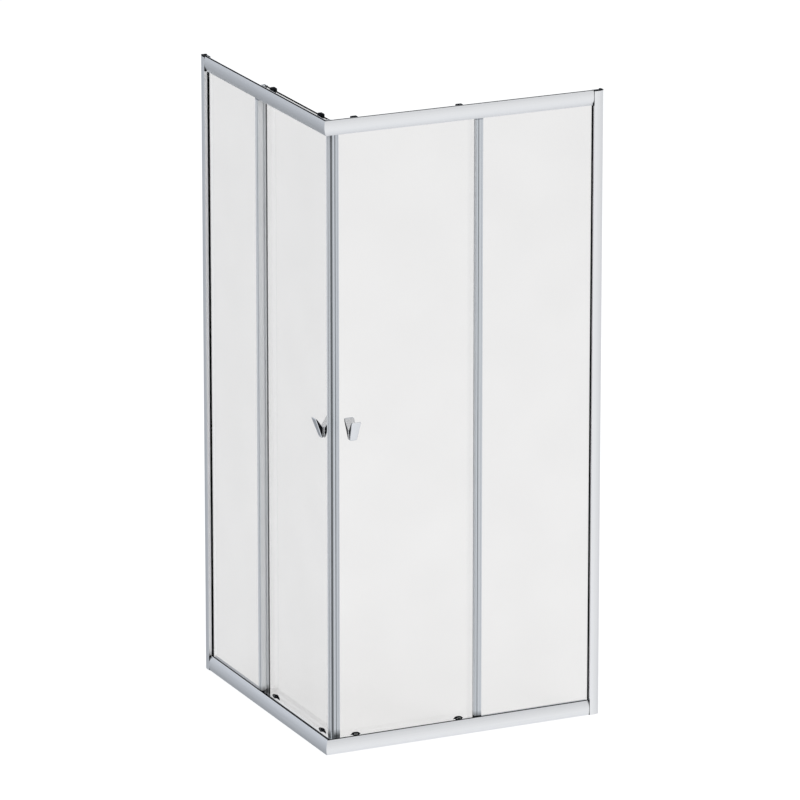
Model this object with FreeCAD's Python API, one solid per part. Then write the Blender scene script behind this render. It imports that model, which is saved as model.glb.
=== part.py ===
import FreeCAD, Part
import math
import os
from collections import namedtuple
from FreeCAD import Vector

# Corner shower enclosure: two glazed faces that meet at an outer corner.
# Each face has a fixed glass panel at the wall and a sliding glass door at the corner.
# Millimetres, +Z up, origin on the floor at the middle of the plan.
# A face is modelled in its own directions: s runs along the face from the outer corner to the wall,
# d runs inwards from the outer plane, and z runs up.
# The right face has s along X and d along Y, and the left face is its mirror image across the diagonal.
# Pieces at the top are made at the floor, as the bottom ones are, and turned over at mid-height.

# Overall sizes
WIDTH = 885.0  # right face, from the outer corner to the wall
DEPTH = 885.0  # left face, from the outer corner to the wall
HEIGHT = 1900.0
GLASS = 5.0  # toughened glass, fixed panels and doors alike
FIXED_PLANE = 13.5  # outer face of the fixed glass
FIXED_EDGE = 481.0  # free edge of the fixed panel, from the outer corner

# Gaps
RUNNING_GAP = 0.05  # wheel on its bolt, all round
ROLLING_GAP = 0.3  # wheel to its rib
SLIP_GAP = 0.3  # pieces that slide past or slip into each other
SCREW_GAP = 0.05  # screw in its hole, all round

# Rail extrusion, the same at the top and at the bottom
RAIL_HEIGHT = 45.0
RAIL_WALL = 1.6
FREE_EDGE_RECESS = 3.0  # how far the curved front falls back at the edge away from the glass
GLASS_EDGE_RECESS = 8.0  # how far it falls back at the glass
POCKET_DEPTH = 12.0  # open pocket behind the free edge
GROOVE_DEPTH = 20.0  # glazing groove
NOSE_DEPTH = 4.0  # solid nose where the front meets the glazing groove
LIP_DROP = 4.0  # track lip below the nose
GASKET_WALL = 2.2
GASKET_SET_BACK = 1.0  # gasket below the two edges of the groove
RIB_HEIGHT = 2.5
RIB_WIDTH = 1.6
PORT_BORE = 1.7  # radius of the screw port in the rail
PORT_WALL = 1.4

# Wall channel and jamb
JAMB_WIDTH = 30.0
JAMB_STAND_OFF = 1.0  # gap between the jamb and the wall that shows the channel
JAMB_WALL = 1.6
JAMB_WALL_RECESS = 4.0  # fall of the curved front at the wall
JAMB_RAIL_RECESS = 1.0  # fall of the curved front at the rails
JAMB_GRIP = 15.5  # depth of the glazing groove
CHANNEL_SET_BACK = 6.0  # front of the wall channel
CHANNEL_FRONT_LEG = 22.0
CHANNEL_BACK_LEG = 11.5
WALL_HOLE = 2.75  # radius
WALL_HOLE_INSETS = (200.0, 700.0)  # from the floor and from the top
BEAD_WIDTH = 3.0  # gasket bead that shows on the glass
BEAD_RISE = 2.8
FOOT_THICK = 2.0  # foot of the gasket between the end of a rail and the jamb
FOOT_SET_BACK = 1.6  # front of that foot
CAP_PLATE = 2.5
CAP_PLUG = 8.0
CAP_LUG = 7.0  # width of the cap behind the glazing groove
CAP_MARGIN = 0.3

# Free edge of the fixed panel
EDGE_PLANE = 7.5  # front of the edge strip
EDGE_WIDTH = 22.0
EDGE_WALL = 1.6
EDGE_CROWN = 0.8  # bulge of the strip's front
EDGE_LINE = 2.0  # width and depth of the line along the strip's front
EDGE_LINE_INSET = 6.5  # from the free edge
EDGE_CAP = 4.0
SEAL_SEAT = 2.5  # inner wall of the strip, which holds the seal
SEAL_FOOT = 4.0
SEAL_FOOT_DEPTH = 1.5
SEAL_FOOT_INSET = 6.0
SEAL_LIP = 1.2
SEAL_SLANT = 8.0  # how far the lip leans along the face

# Rollers
WHEEL_ROOT = 8.0  # radius at the bottom of the wheel's groove
WHEEL_WIDTH = 6.0
RIM_GAP = 0.8  # wheel's rim to the floor of the track
BOLT = 3.0  # radius
BOLT_HEAD = 4.6
BOLT_HEAD_THICK = 1.3
BOLT_HEAD_GAP = 0.7  # bolt's head to the wall of the track
BOLT_GRIP = 5.0  # bolt inside the glass
PAD = 4.0  # roller body between wheel and glass
PAD_GAP = 0.4
LIP_GAP = 0.7  # track lip to the roller body
LEAD_ROLLER = 110.0  # from the outer corner
TRAIL_ROLLER_INSET = 69.0  # from the trailing edge of the door
SADDLE_WIDTH = 18.0
SADDLE_TOP = 4.0  # from the rail's free edge
SADDLE_BELOW = 11.0  # past the bolt's axis
SADDLE_INSIDE = 7.0  # thickness inside the glass
SADDLE_CHAMFER = 2.5
PAD_DISC = 18.5  # radius of the disc between a bottom wheel and the glass
KNOB = 10.5  # radius
KNOB_THICK = 6.5
KNOB_CHAMFER = 1.5
KNOB_NOTCHES = 6
KNOB_NOTCH = 1.9  # radius
GLASS_HOLE = 3.6  # radius

# Door leaf
DOOR_EDGE = 10.0  # door glass to the floor and to the top
LEG = 3.4  # legs of the door's upright profiles, each side of the glass
MAGNET = 6.0  # magnetic seal, along the face
MEETING_GAP = 0.3  # each door's seal to the meeting plane, along the face
GLASS_GRIP = 8.4
PROFILE_LINE = 2.0  # width of the groove along the leading profile
PROFILE_LINE_DEPTH = 1.6
PROFILE_LINE_INSET = 7.0  # from the nose of the profile
TONGUE = 2.4  # tongue of the magnetic seal
TONGUE_DEPTH = 2.0
OVERLAP = 29.0  # door behind the fixed panel
TRAIL_WIDTH = 20.0
TRAIL_WALL = 2.0
STOP_INSET = 41.5  # from the wall end of the rail
STOP_LENGTH = 12.0
STOP_DROP = 12.0

# Handles, a wedge on each side of the glass
HANDLE_PLACE = 102.5  # middle, from the outer corner
HANDLE_FOOT = 935.0  # lower end, above the floor
HANDLE_HEIGHT = 61.0
HANDLE_SEAT = 31.0  # height that lies on the glass
HANDLE_REACH = 28.0  # tip to the glass
HANDLE_LIP = 3.5  # thickness at the tip
HANDLE_TOE = 5.0  # thickness at the lower end
HANDLE_TOP_WIDTH = 31.0
HANDLE_TOE_WIDTH = 23.0
HANDLE_EDGE = 1.2  # rounding
HANDLE_SCREW = 2.5  # radius
HANDLE_SCREW_GRIP = 7.0  # screw in each wedge

# Fasteners and corner pieces
SCREW = 1.65  # radius of the shank
SCREW_HEAD = 3.3
SCREW_HEAD_THICK = 2.0
RAIL_SCREW_GRIP = 20.0
JAMB_SCREW_INSET = 8.0  # from the wall
JAMB_SCREW_GRIP = 5.0
JAMB_SCREW_END = 100.0  # from the floor and from the top
KEY_LEG = 50.0
KEY_HEIGHT = 12.0
KEY_SCREW_PLACE = 30.0
PLUG_LEG = 19.0
PLUG_SET_BACK = 0.6

# Levels and planes worked out from the sizes above
GROOVE_OUTER = FIXED_PLANE - GASKET_WALL
GROOVE_INNER = FIXED_PLANE + GLASS + GASKET_WALL
BACK_WALL = GROOVE_OUTER - RAIL_WALL
GROOVE_FLOOR = RAIL_HEIGHT - GROOVE_DEPTH
TRACK_WALL = GROOVE_INNER + RAIL_WALL
LIP_LEVEL = RAIL_HEIGHT - LIP_DROP
TRACK_FLOOR = LIP_LEVEL - RAIL_WALL
RIB_TIP = TRACK_FLOOR - RIB_HEIGHT
HEAD_PLANE = TRACK_WALL + BOLT_HEAD_GAP
WHEEL_OUTER = HEAD_PLANE + BOLT_HEAD_THICK + SLIP_GAP
RIB_PLANE = WHEEL_OUTER + WHEEL_WIDTH / 2
PAD_PLANE = WHEEL_OUTER + WHEEL_WIDTH + PAD_GAP
LIP_EDGE = PAD_PLANE - LIP_GAP
DOOR_PLANE = PAD_PLANE + PAD
DOOR_INSIDE = DOOR_PLANE + GLASS
WHEEL_RIM = WHEEL_ROOT + ROLLING_GAP + RIB_HEIGHT - RIM_GAP
AXLE_LEVEL = RIB_TIP - ROLLING_GAP - WHEEL_ROOT
PORT_LEVEL = POCKET_DEPTH + RAIL_WALL + PORT_BORE + PORT_WALL / 2
PORT_PLANE = BACK_WALL - PORT_BORE - PORT_WALL - 2 * SLIP_GAP
KEY_LEVEL = GROOVE_FLOOR + SCREW_HEAD + SLIP_GAP
KEY_LOW = KEY_LEVEL - KEY_HEIGHT / 2
KEY_HIGH = KEY_LEVEL + KEY_HEIGHT / 2
LEAF_OUT = DOOR_PLANE - LEG
LEAF_IN = DOOR_INSIDE + LEG
LEAD_END = LEAF_IN + MEETING_GAP + MAGNET + GLASS_GRIP
TRAIL_END = FIXED_EDGE + OVERLAP
ROLLER_PLACES = (LEAD_ROLLER, TRAIL_END - TRAIL_ROLLER_INSET)
FACES = {"right": WIDTH, "left": DEPTH}

Bend = namedtuple("Bend", "via end")


# Drawing helpers


def along_face(a, b):
    """Point of a section across a rail: a is d and b is z."""
    return Vector(0, a, b)


def in_plan(a, b):
    """Point of a section across an upright: a is s and b is d."""
    return Vector(a, b, 0)


def drawn(plane, start, *steps):
    """Flat face inside a closed line of straight steps and bends, on one of the two section planes."""
    edges = []
    here = start
    for step in steps + (start,):
        if isinstance(step, Bend):
            edges.append(Part.Arc(plane(*here), plane(*step.via), plane(*step.end)).toShape())
            here = step.end
        elif step != here:
            edges.append(Part.makeLine(plane(*here), plane(*step)))
            here = step
    return Part.Face(Part.Wire(edges))


def run(face, start, end):
    """Section of a rail carried along the face from start to end."""
    solid = face.extrude(Vector(end - start, 0, 0))
    solid.translate(Vector(start, 0, 0))
    return solid


def stand(face, low, high):
    """Section of an upright carried up from low to high."""
    solid = face.extrude(Vector(0, 0, high - low))
    solid.translate(Vector(0, 0, low))
    return solid


def block(s, d, z):
    """Block between two values of s, of d and of z."""
    corner = Vector(s[0], d[0], z[0])
    return Part.makeBox(s[1] - s[0], d[1] - d[0], z[1] - z[0], corner)


def rod(radius, s, z, d_start, d_end):
    """Round rod that points inwards through the face."""
    return Part.makeCylinder(radius, d_end - d_start, Vector(s, d_start, z), Vector(0, 1, 0))


def turned(s, z, points):
    """Solid of revolution about an axis that points inwards; each point is a radius and a place d."""
    profile = Part.makePolygon([Vector(r, d, 0) for r, d in points + points[:1]])
    solid = Part.Face(profile).revolve(Vector(0, 0, 0), Vector(0, 1, 0), 360)
    solid.translate(Vector(s, 0, z))
    return solid


def turned_over(shape):
    """The same piece at the top of the enclosure."""
    return shape.mirror(Vector(0, 0, HEIGHT / 2), Vector(0, 0, 1))


def both_ends(shape):
    """The piece at the floor and the same piece at the top."""
    return [shape, turned_over(shape)]


def crown_level(span, start_fall, end_fall):
    """Where an arc over the span touches its outer plane, given how far it falls back at its two ends."""
    square = end_fall - start_fall
    slope = 2 * start_fall * span
    rest = start_fall * (start_fall * end_fall - end_fall ** 2 - span ** 2)
    return -2 * rest / (slope + math.sqrt(slope ** 2 - 4 * square * rest))


def crown_radius(distance, fall):
    """Radius of an arc that falls back by this much at this distance from its crown."""
    return (fall ** 2 + distance ** 2) / (2 * fall)


# Curved fronts of the rails and of the jambs

RAIL_CROWN = crown_level(RAIL_HEIGHT, FREE_EDGE_RECESS, GLASS_EDGE_RECESS)
RAIL_RADIUS = crown_radius(RAIL_CROWN, FREE_EDGE_RECESS)
JAMB_FRONT = JAMB_WIDTH - JAMB_STAND_OFF
JAMB_CROWN = JAMB_STAND_OFF + crown_level(JAMB_FRONT, JAMB_WALL_RECESS, JAMB_RAIL_RECESS)
JAMB_RADIUS = crown_radius(JAMB_WIDTH - JAMB_CROWN, JAMB_RAIL_RECESS)


def rail_back(level):
    """Depth d of the inner side of the rail's curved front at a level."""
    return RAIL_RADIUS - math.sqrt((RAIL_RADIUS - RAIL_WALL) ** 2 - (level - RAIL_CROWN) ** 2)


def jamb_back(from_wall):
    """Depth d of the inner side of the jamb's curved front at a distance from the wall."""
    return JAMB_RADIUS - math.sqrt((JAMB_RADIUS - JAMB_WALL) ** 2 - (from_wall - JAMB_CROWN) ** 2)


# Rails


def rail_outline():
    """Outer line of the rail: curved front, pocket, glazing groove, track lip and its round-topped rib."""
    rib_near = RIB_PLANE - RIB_WIDTH / 2
    rib_far = RIB_PLANE + RIB_WIDTH / 2
    rib_shoulder = RIB_TIP + RIB_WIDTH / 2
    pocket_middle = POCKET_DEPTH / 2
    return drawn(
        along_face,
        (FREE_EDGE_RECESS, 0),
        Bend((0, RAIL_CROWN), (GLASS_EDGE_RECESS, RAIL_HEIGHT)),
        (GROOVE_OUTER, RAIL_HEIGHT),
        (GROOVE_OUTER, GROOVE_FLOOR),
        (GROOVE_INNER, GROOVE_FLOOR),
        (GROOVE_INNER, LIP_LEVEL),
        (LIP_EDGE, LIP_LEVEL),
        (LIP_EDGE, TRACK_FLOOR),
        (rib_far, TRACK_FLOOR),
        (rib_far, rib_shoulder),
        Bend((RIB_PLANE, RIB_TIP), (rib_near, rib_shoulder)),
        (rib_near, TRACK_FLOOR),
        (TRACK_WALL, TRACK_FLOOR),
        (TRACK_WALL, GROOVE_FLOOR - RAIL_WALL),
        (GROOVE_OUTER, GROOVE_FLOOR - RAIL_WALL),
        (GROOVE_OUTER, 0),
        (BACK_WALL, 0),
        (BACK_WALL, POCKET_DEPTH),
        (rail_back(POCKET_DEPTH), POCKET_DEPTH),
        Bend((rail_back(pocket_middle), pocket_middle), (rail_back(0), 0)),
    )


def rail_chamber():
    """Closed hollow behind the curved front."""
    top = POCKET_DEPTH + RAIL_WALL
    bottom = RAIL_HEIGHT - NOSE_DEPTH
    middle = (top + bottom) / 2
    return drawn(
        along_face,
        (rail_back(top), top),
        (BACK_WALL, top),
        (BACK_WALL, bottom),
        (rail_back(bottom), bottom),
        Bend((rail_back(middle), middle), (rail_back(top), top)),
    )


def along_rod(radius, s, d, z):
    """Round rod that runs along the face, between two values of s."""
    return Part.makeCylinder(radius, s[1] - s[0], Vector(s[0], d, z), Vector(1, 0, 0))


def mitre_waste():
    """What the mitre takes off a rail at the outer corner: everything nearer to the other face."""
    return stand(drawn(in_plan, (0, 0), (LIP_EDGE, LIP_EDGE), (0, LIP_EDGE)), 0, RAIL_HEIGHT)


def rail(length):
    """Bottom rail from its mitre to the foot of the jamb's gasket, with a port for its screw."""
    ends = (0, length - JAMB_WIDTH - FOOT_THICK)
    body = run(rail_outline(), *ends).cut(run(rail_chamber(), *ends))
    body = body.fuse(along_rod(PORT_BORE + PORT_WALL, ends, PORT_PLANE, PORT_LEVEL))
    body = body.cut(along_rod(PORT_BORE, ends, PORT_PLANE, PORT_LEVEL))
    hole = rod(SCREW + SCREW_GAP, KEY_SCREW_PLACE, KEY_LEVEL, BACK_WALL, GROOVE_OUTER)
    return body.cut(mitre_waste()).cut(hole).removeSplitter()


def rail_gasket(length):
    """Glazing gasket round the lower edge of the fixed glass, pressed into the rail's groove."""
    outer_edge = RAIL_HEIGHT - GASKET_SET_BACK
    inner_edge = LIP_LEVEL - GASKET_SET_BACK
    seat = GROOVE_FLOOR + GASKET_WALL
    section = drawn(
        along_face,
        (GROOVE_OUTER, GROOVE_FLOOR),
        (GROOVE_INNER, GROOVE_FLOOR),
        (GROOVE_INNER, inner_edge),
        (FIXED_PLANE + GLASS, inner_edge),
        (FIXED_PLANE + GLASS, seat),
        (FIXED_PLANE, seat),
        (FIXED_PLANE, outer_edge),
        (GROOVE_OUTER, outer_edge),
    )
    return run(section, FIXED_EDGE, length - JAMB_WIDTH - FOOT_THICK)


def door_stop(length):
    """Rubber stop that sits on the rib of the bottom rail, near the wall."""
    rib_near = RIB_PLANE - RIB_WIDTH / 2
    rib_far = RIB_PLANE + RIB_WIDTH / 2
    section = drawn(
        along_face,
        (TRACK_WALL, TRACK_FLOOR - STOP_DROP),
        (LIP_EDGE, TRACK_FLOOR - STOP_DROP),
        (LIP_EDGE, TRACK_FLOOR),
        (rib_far, TRACK_FLOOR),
        (rib_far, RIB_TIP),
        (rib_near, RIB_TIP),
        (rib_near, TRACK_FLOOR),
        (TRACK_WALL, TRACK_FLOOR),
    )
    end = length - JAMB_WIDTH - STOP_INSET
    return run(section, end - STOP_LENGTH, end)


# Outer corner


def corner_outline(near, far, leg):
    """L in plan, symmetrical about the diagonal, that runs inside both rails."""
    return drawn(in_plan, (near, near), (leg, near), (leg, far), (far, far), (far, leg), (near, leg))


def corner_key():
    """Moulded key in the closed hollows of the two bottom rails, with a hole for each rail's screw."""
    near = rail_back(KEY_HIGH) + SLIP_GAP
    far = BACK_WALL - SLIP_GAP
    body = stand(corner_outline(near, far, KEY_LEG), KEY_LOW, KEY_HIGH)
    hole = rod(SCREW + SCREW_GAP, KEY_SCREW_PLACE, KEY_LEVEL, near, far)
    return body.cut(hole).cut(hole.mirror(Vector(0, 0, 0), Vector(1, -1, 0)))


def corner_plug():
    """Plug that closes the open pockets of the rails at the corner."""
    near = rail_back(0) + SLIP_GAP
    far = BACK_WALL - SLIP_GAP
    return stand(corner_outline(near, far, PLUG_LEG), PLUG_SET_BACK, POCKET_DEPTH)


def corner_screw():
    """Pan-head screw through the back wall of a bottom rail into the corner key."""
    tip = rail_back(KEY_HIGH) + SLIP_GAP
    points = [
        (0, tip),
        (SCREW, tip),
        (SCREW, GROOVE_OUTER),
        (SCREW_HEAD, GROOVE_OUTER),
        (SCREW_HEAD, GROOVE_OUTER + SCREW_HEAD_THICK),
        (0, GROOVE_OUTER + SCREW_HEAD_THICK),
    ]
    return turned(KEY_SCREW_PLACE, KEY_LEVEL, points)


# Wall side


def wall_channel(length):
    """U channel that is screwed to the wall; its legs reach into the jamb."""
    back = GROOVE_INNER - SLIP_GAP
    section = drawn(
        in_plan,
        (length, CHANNEL_SET_BACK),
        (length, back),
        (length - CHANNEL_BACK_LEG, back),
        (length - CHANNEL_BACK_LEG, back - JAMB_WALL),
        (length - JAMB_WALL, back - JAMB_WALL),
        (length - JAMB_WALL, CHANNEL_SET_BACK + JAMB_WALL),
        (length - CHANNEL_FRONT_LEG, CHANNEL_SET_BACK + JAMB_WALL),
        (length - CHANNEL_FRONT_LEG, CHANNEL_SET_BACK),
    )
    body = stand(section, 0, HEIGHT - CAP_PLATE)
    middle = (CHANNEL_SET_BACK + back) / 2
    for inset in WALL_HOLE_INSETS:
        for level in (inset, HEIGHT - inset):
            body = body.cut(along_rod(WALL_HOLE, (length - JAMB_WALL, length), middle, level))
    for level in jamb_screw_levels():
        place = length - JAMB_SCREW_INSET
        body = body.cut(rod(SCREW + SCREW_GAP, place, level, back - JAMB_WALL, back))
    return body


def jamb(length):
    """Jamb that telescopes over the wall channel and holds the fixed glass in its groove."""
    back = GROOVE_INNER + JAMB_WALL
    groove_end = length - JAMB_WIDTH + JAMB_GRIP
    rail_end = length - JAMB_WIDTH
    open_end = length - JAMB_STAND_OFF
    web = JAMB_WIDTH - JAMB_WALL
    front_middle = (web + JAMB_STAND_OFF) / 2
    section = drawn(
        in_plan,
        (open_end, JAMB_WALL_RECESS),
        Bend((length - JAMB_CROWN, 0), (rail_end, JAMB_RAIL_RECESS)),
        (rail_end, GROOVE_OUTER),
        (groove_end, GROOVE_OUTER),
        (groove_end, GROOVE_INNER),
        (rail_end, GROOVE_INNER),
        (rail_end, back),
        (open_end, back),
        (open_end, GROOVE_INNER),
        (groove_end + JAMB_WALL, GROOVE_INNER),
        (groove_end + JAMB_WALL, GROOVE_OUTER - JAMB_WALL),
        (length - web, GROOVE_OUTER - JAMB_WALL),
        (length - web, jamb_back(web)),
        Bend((length - front_middle, jamb_back(front_middle)), (open_end, jamb_back(JAMB_STAND_OFF))),
    )
    body = stand(section, 0, HEIGHT - CAP_PLATE)
    screw_hole = along_rod(SCREW + SCREW_GAP, (rail_end, length - web), PORT_PLANE, PORT_LEVEL)
    for hole in both_ends(screw_hole):
        body = body.cut(hole)
    for level in jamb_screw_levels():
        body = body.cut(rod(SCREW + SCREW_GAP, length - JAMB_SCREW_INSET, level, GROOVE_INNER, back))
    return body


def jamb_screw_levels():
    """Heights of the screws that lock the jamb to the wall channel."""
    return (JAMB_SCREW_END, HEIGHT / 2, HEIGHT - JAMB_SCREW_END)


def jamb_screw(length, level):
    """Screw from the inside of the enclosure through the jamb into the wall channel."""
    seat = GROOVE_INNER + JAMB_WALL
    tip = seat - JAMB_SCREW_GRIP
    points = [
        (0, tip),
        (SCREW, tip),
        (SCREW, seat),
        (SCREW_HEAD, seat),
        (SCREW_HEAD, seat + SCREW_HEAD_THICK),
        (0, seat + SCREW_HEAD_THICK),
    ]
    return turned(length - JAMB_SCREW_INSET, level, points)


def rail_screw(length):
    """Screw inside the jamb that runs through its web into the port of the bottom rail."""
    seat = length - JAMB_WIDTH + JAMB_WALL
    tip = length - JAMB_WIDTH - RAIL_SCREW_GRIP
    shank = along_rod(SCREW, (tip, seat), PORT_PLANE, PORT_LEVEL)
    head = along_rod(SCREW_HEAD, (seat, seat + SCREW_HEAD_THICK), PORT_PLANE, PORT_LEVEL)
    return shank.fuse(head)


def jamb_gasket(length):
    """Black glazing gasket in the jamb, with a bead on the glass and a foot against the end of each rail."""
    mouth = length - JAMB_WIDTH
    seat = mouth + JAMB_GRIP - GASKET_WALL
    inside = FIXED_PLANE + GLASS
    bead_top = FIXED_PLANE - BEAD_RISE
    section = drawn(
        in_plan,
        (mouth, GROOVE_OUTER),
        Bend((mouth - BEAD_WIDTH / 2, bead_top), (mouth - BEAD_WIDTH, FIXED_PLANE)),
        (seat, FIXED_PLANE),
        (seat, inside),
        (mouth - BEAD_WIDTH / 2, inside),
        (mouth, GROOVE_INNER),
        (mouth + JAMB_GRIP, GROOVE_INNER),
        (mouth + JAMB_GRIP, GROOVE_OUTER),
    )
    body = stand(section, RAIL_HEIGHT, HEIGHT - RAIL_HEIGHT)
    foot = block((mouth - FOOT_THICK, mouth), (FOOT_SET_BACK, FIXED_PLANE), (0, RAIL_HEIGHT))
    foot = foot.cut(along_rod(SCREW + SCREW_GAP, (mouth - FOOT_THICK, mouth), PORT_PLANE, PORT_LEVEL))
    return body.multiFuse(both_ends(foot)).removeSplitter()


def wall_cap(length):
    """Moulded cap on top of the jamb and the wall channel, with a plug in the jamb's front hollow."""
    rail_end = length - JAMB_WIDTH + CAP_MARGIN
    open_end = length - JAMB_STAND_OFF
    front = JAMB_WALL_RECESS + CAP_MARGIN
    plate = drawn(
        in_plan,
        (length, front),
        (open_end, front),
        Bend((length - JAMB_CROWN, CAP_MARGIN), (rail_end, JAMB_RAIL_RECESS + CAP_MARGIN)),
        (rail_end, GROOVE_OUTER),
        (length - CAP_LUG, GROOVE_OUTER),
        (length - CAP_LUG, GROOVE_INNER),
        (length, GROOVE_INNER),
    )
    plug_far = length - CHANNEL_FRONT_LEG - SLIP_GAP
    plug_near = length - JAMB_WIDTH + JAMB_WALL + SLIP_GAP
    plug_front = jamb_back(JAMB_WIDTH - JAMB_WALL) + SLIP_GAP
    plug_back = GROOVE_OUTER - JAMB_WALL - SLIP_GAP
    top = HEIGHT - CAP_PLATE
    plug = block((plug_near, plug_far), (plug_front, plug_back), (top - CAP_PLUG, top))
    return stand(plate, top, HEIGHT).fuse(plug).removeSplitter()


# Fixed panel


def fixed_glass(length):
    """Fixed pane, seated in the gaskets of the rails and the jamb and in the edge strip."""
    low = GROOVE_FLOOR + GASKET_WALL
    near = FIXED_EDGE + EDGE_WALL
    far = length - JAMB_WIDTH + JAMB_GRIP - GASKET_WALL
    return block((near, far), (FIXED_PLANE, FIXED_PLANE + GLASS), (low, HEIGHT - low))


def edge_outline(crown):
    """Section of the edge strip on the free edge of the fixed glass, without its hollow."""
    far = FIXED_EDGE + EDGE_WIDTH
    line_start = FIXED_EDGE + EDGE_LINE_INSET
    line_end = line_start + EDGE_LINE
    back = FIXED_PLANE + GLASS + SEAL_SEAT
    foot_start = FIXED_EDGE + SEAL_FOOT_INSET
    foot_end = foot_start + SEAL_FOOT
    return drawn(
        in_plan,
        (FIXED_EDGE, EDGE_PLANE + crown),
        (line_start, EDGE_PLANE + crown),
        (line_start, EDGE_PLANE + crown + EDGE_LINE),
        (line_end, EDGE_PLANE + crown + EDGE_LINE),
        (line_end, EDGE_PLANE + crown),
        Bend(((line_end + far) / 2, EDGE_PLANE), (far, EDGE_PLANE + crown)),
        (far, FIXED_PLANE),
        (FIXED_EDGE + EDGE_WALL, FIXED_PLANE),
        (FIXED_EDGE + EDGE_WALL, FIXED_PLANE + GLASS),
        (far, FIXED_PLANE + GLASS),
        (far, back),
        (foot_end, back),
        (foot_end, back - SEAL_FOOT_DEPTH),
        (foot_start, back - SEAL_FOOT_DEPTH),
        (foot_start, back),
        (FIXED_EDGE, back),
    )


def edge_strip():
    """Aluminium strip on the free edge of the fixed glass, hollow in front of the pane."""
    levels = (RAIL_HEIGHT + EDGE_CAP, HEIGHT - RAIL_HEIGHT - EDGE_CAP)
    hollow_near = FIXED_EDGE + EDGE_LINE_INSET + EDGE_LINE + EDGE_WALL
    hollow_far = FIXED_EDGE + EDGE_WIDTH - EDGE_WALL
    hollow_front = EDGE_PLANE + EDGE_CROWN + EDGE_WALL
    hollow = block((hollow_near, hollow_far), (hollow_front, FIXED_PLANE - EDGE_WALL), levels)
    return stand(edge_outline(EDGE_CROWN), *levels).cut(hollow)


def edge_cap():
    """Moulded end piece between the edge strip and the bottom rail."""
    return stand(edge_outline(EDGE_CROWN), RAIL_HEIGHT, RAIL_HEIGHT + EDGE_CAP)


def edge_seal():
    """Soft seal in the edge strip, whose slanted lip reaches the door's trailing profile."""
    back = FIXED_PLANE + GLASS + SEAL_SEAT
    foot_start = FIXED_EDGE + SEAL_FOOT_INSET
    foot_end = foot_start + SEAL_FOOT
    tip = LEAF_OUT - SLIP_GAP
    section = drawn(
        in_plan,
        (foot_start, back - SEAL_FOOT_DEPTH),
        (foot_end, back - SEAL_FOOT_DEPTH),
        (foot_end, back),
        (foot_start + SEAL_LIP, back),
        (foot_start + SEAL_LIP + SEAL_SLANT, tip),
        (foot_start + SEAL_SLANT, tip),
        (foot_start, back),
    )
    return stand(section, RAIL_HEIGHT + EDGE_CAP, HEIGHT - RAIL_HEIGHT - EDGE_CAP)


# Door leaf


def door_glass():
    """Sliding pane with a hole for each roller and one for the handles."""
    near = LEAD_END - GLASS_GRIP
    far = TRAIL_END - TRAIL_WALL
    pane = block((near, far), (DOOR_PLANE, DOOR_INSIDE), (DOOR_EDGE, HEIGHT - DOOR_EDGE))
    for place in ROLLER_PLACES:
        for hole in both_ends(rod(GLASS_HOLE, place, AXLE_LEVEL, DOOR_PLANE, DOOR_INSIDE)):
            pane = pane.cut(hole)
    handle_level = HANDLE_FOOT + HANDLE_SEAT / 2
    return pane.cut(rod(GLASS_HOLE, HANDLE_PLACE, handle_level, DOOR_PLANE, DOOR_INSIDE))


def nose_points():
    """Sloped nose of the leading profile, parallel to the meeting plane, with its slot for the seal."""
    half = TONGUE / 2 / math.sqrt(2)
    deep = TONGUE_DEPTH / math.sqrt(2)
    middle = (LEAF_OUT + LEAF_IN) / 2
    offset = MEETING_GAP + MAGNET
    return [
        (LEAF_IN + offset, LEAF_IN),
        (middle + half + offset, middle + half),
        (middle + half + offset + deep, middle + half - deep),
        (middle - half + offset + deep, middle - half - deep),
        (middle - half + offset, middle - half),
        (LEAF_OUT + offset, LEAF_OUT),
    ]


def leading_profile():
    """Upright on the leading edge of the door, with a sloped nose and a fine line along its front."""
    nose = nose_points()
    line_start = nose[-1][0] + PROFILE_LINE_INSET
    line_end = line_start + PROFILE_LINE
    glass_edge = LEAD_END - GLASS_GRIP
    section = drawn(
        in_plan,
        *nose,
        (line_start, LEAF_OUT),
        (line_start, LEAF_OUT + PROFILE_LINE_DEPTH),
        (line_end, LEAF_OUT + PROFILE_LINE_DEPTH),
        (line_end, LEAF_OUT),
        (LEAD_END, LEAF_OUT),
        (LEAD_END, DOOR_PLANE),
        (glass_edge, DOOR_PLANE),
        (glass_edge, DOOR_INSIDE),
        (LEAD_END, DOOR_INSIDE),
        (LEAD_END, LEAF_IN),
    )
    return stand(section, DOOR_EDGE, HEIGHT - DOOR_EDGE)


def magnetic_seal():
    """Magnetic seal on the nose of the leading profile; the two doors' seals meet on the diagonal."""
    section = drawn(
        in_plan,
        *nose_points(),
        (LEAF_OUT + MEETING_GAP, LEAF_OUT),
        (LEAF_IN + MEETING_GAP, LEAF_IN),
    )
    return stand(section, DOOR_EDGE, HEIGHT - DOOR_EDGE)


def trailing_profile():
    """Channel on the trailing edge of the door, behind the fixed panel's edge strip."""
    near = TRAIL_END - TRAIL_WIDTH
    glass_edge = TRAIL_END - TRAIL_WALL
    section = drawn(
        in_plan,
        (near, LEAF_OUT),
        (TRAIL_END, LEAF_OUT),
        (TRAIL_END, LEAF_IN),
        (near, LEAF_IN),
        (near, DOOR_INSIDE),
        (glass_edge, DOOR_INSIDE),
        (glass_edge, DOOR_PLANE),
        (near, DOOR_PLANE),
    )
    return stand(section, DOOR_EDGE, HEIGHT - DOOR_EDGE)


# Rollers


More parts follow.
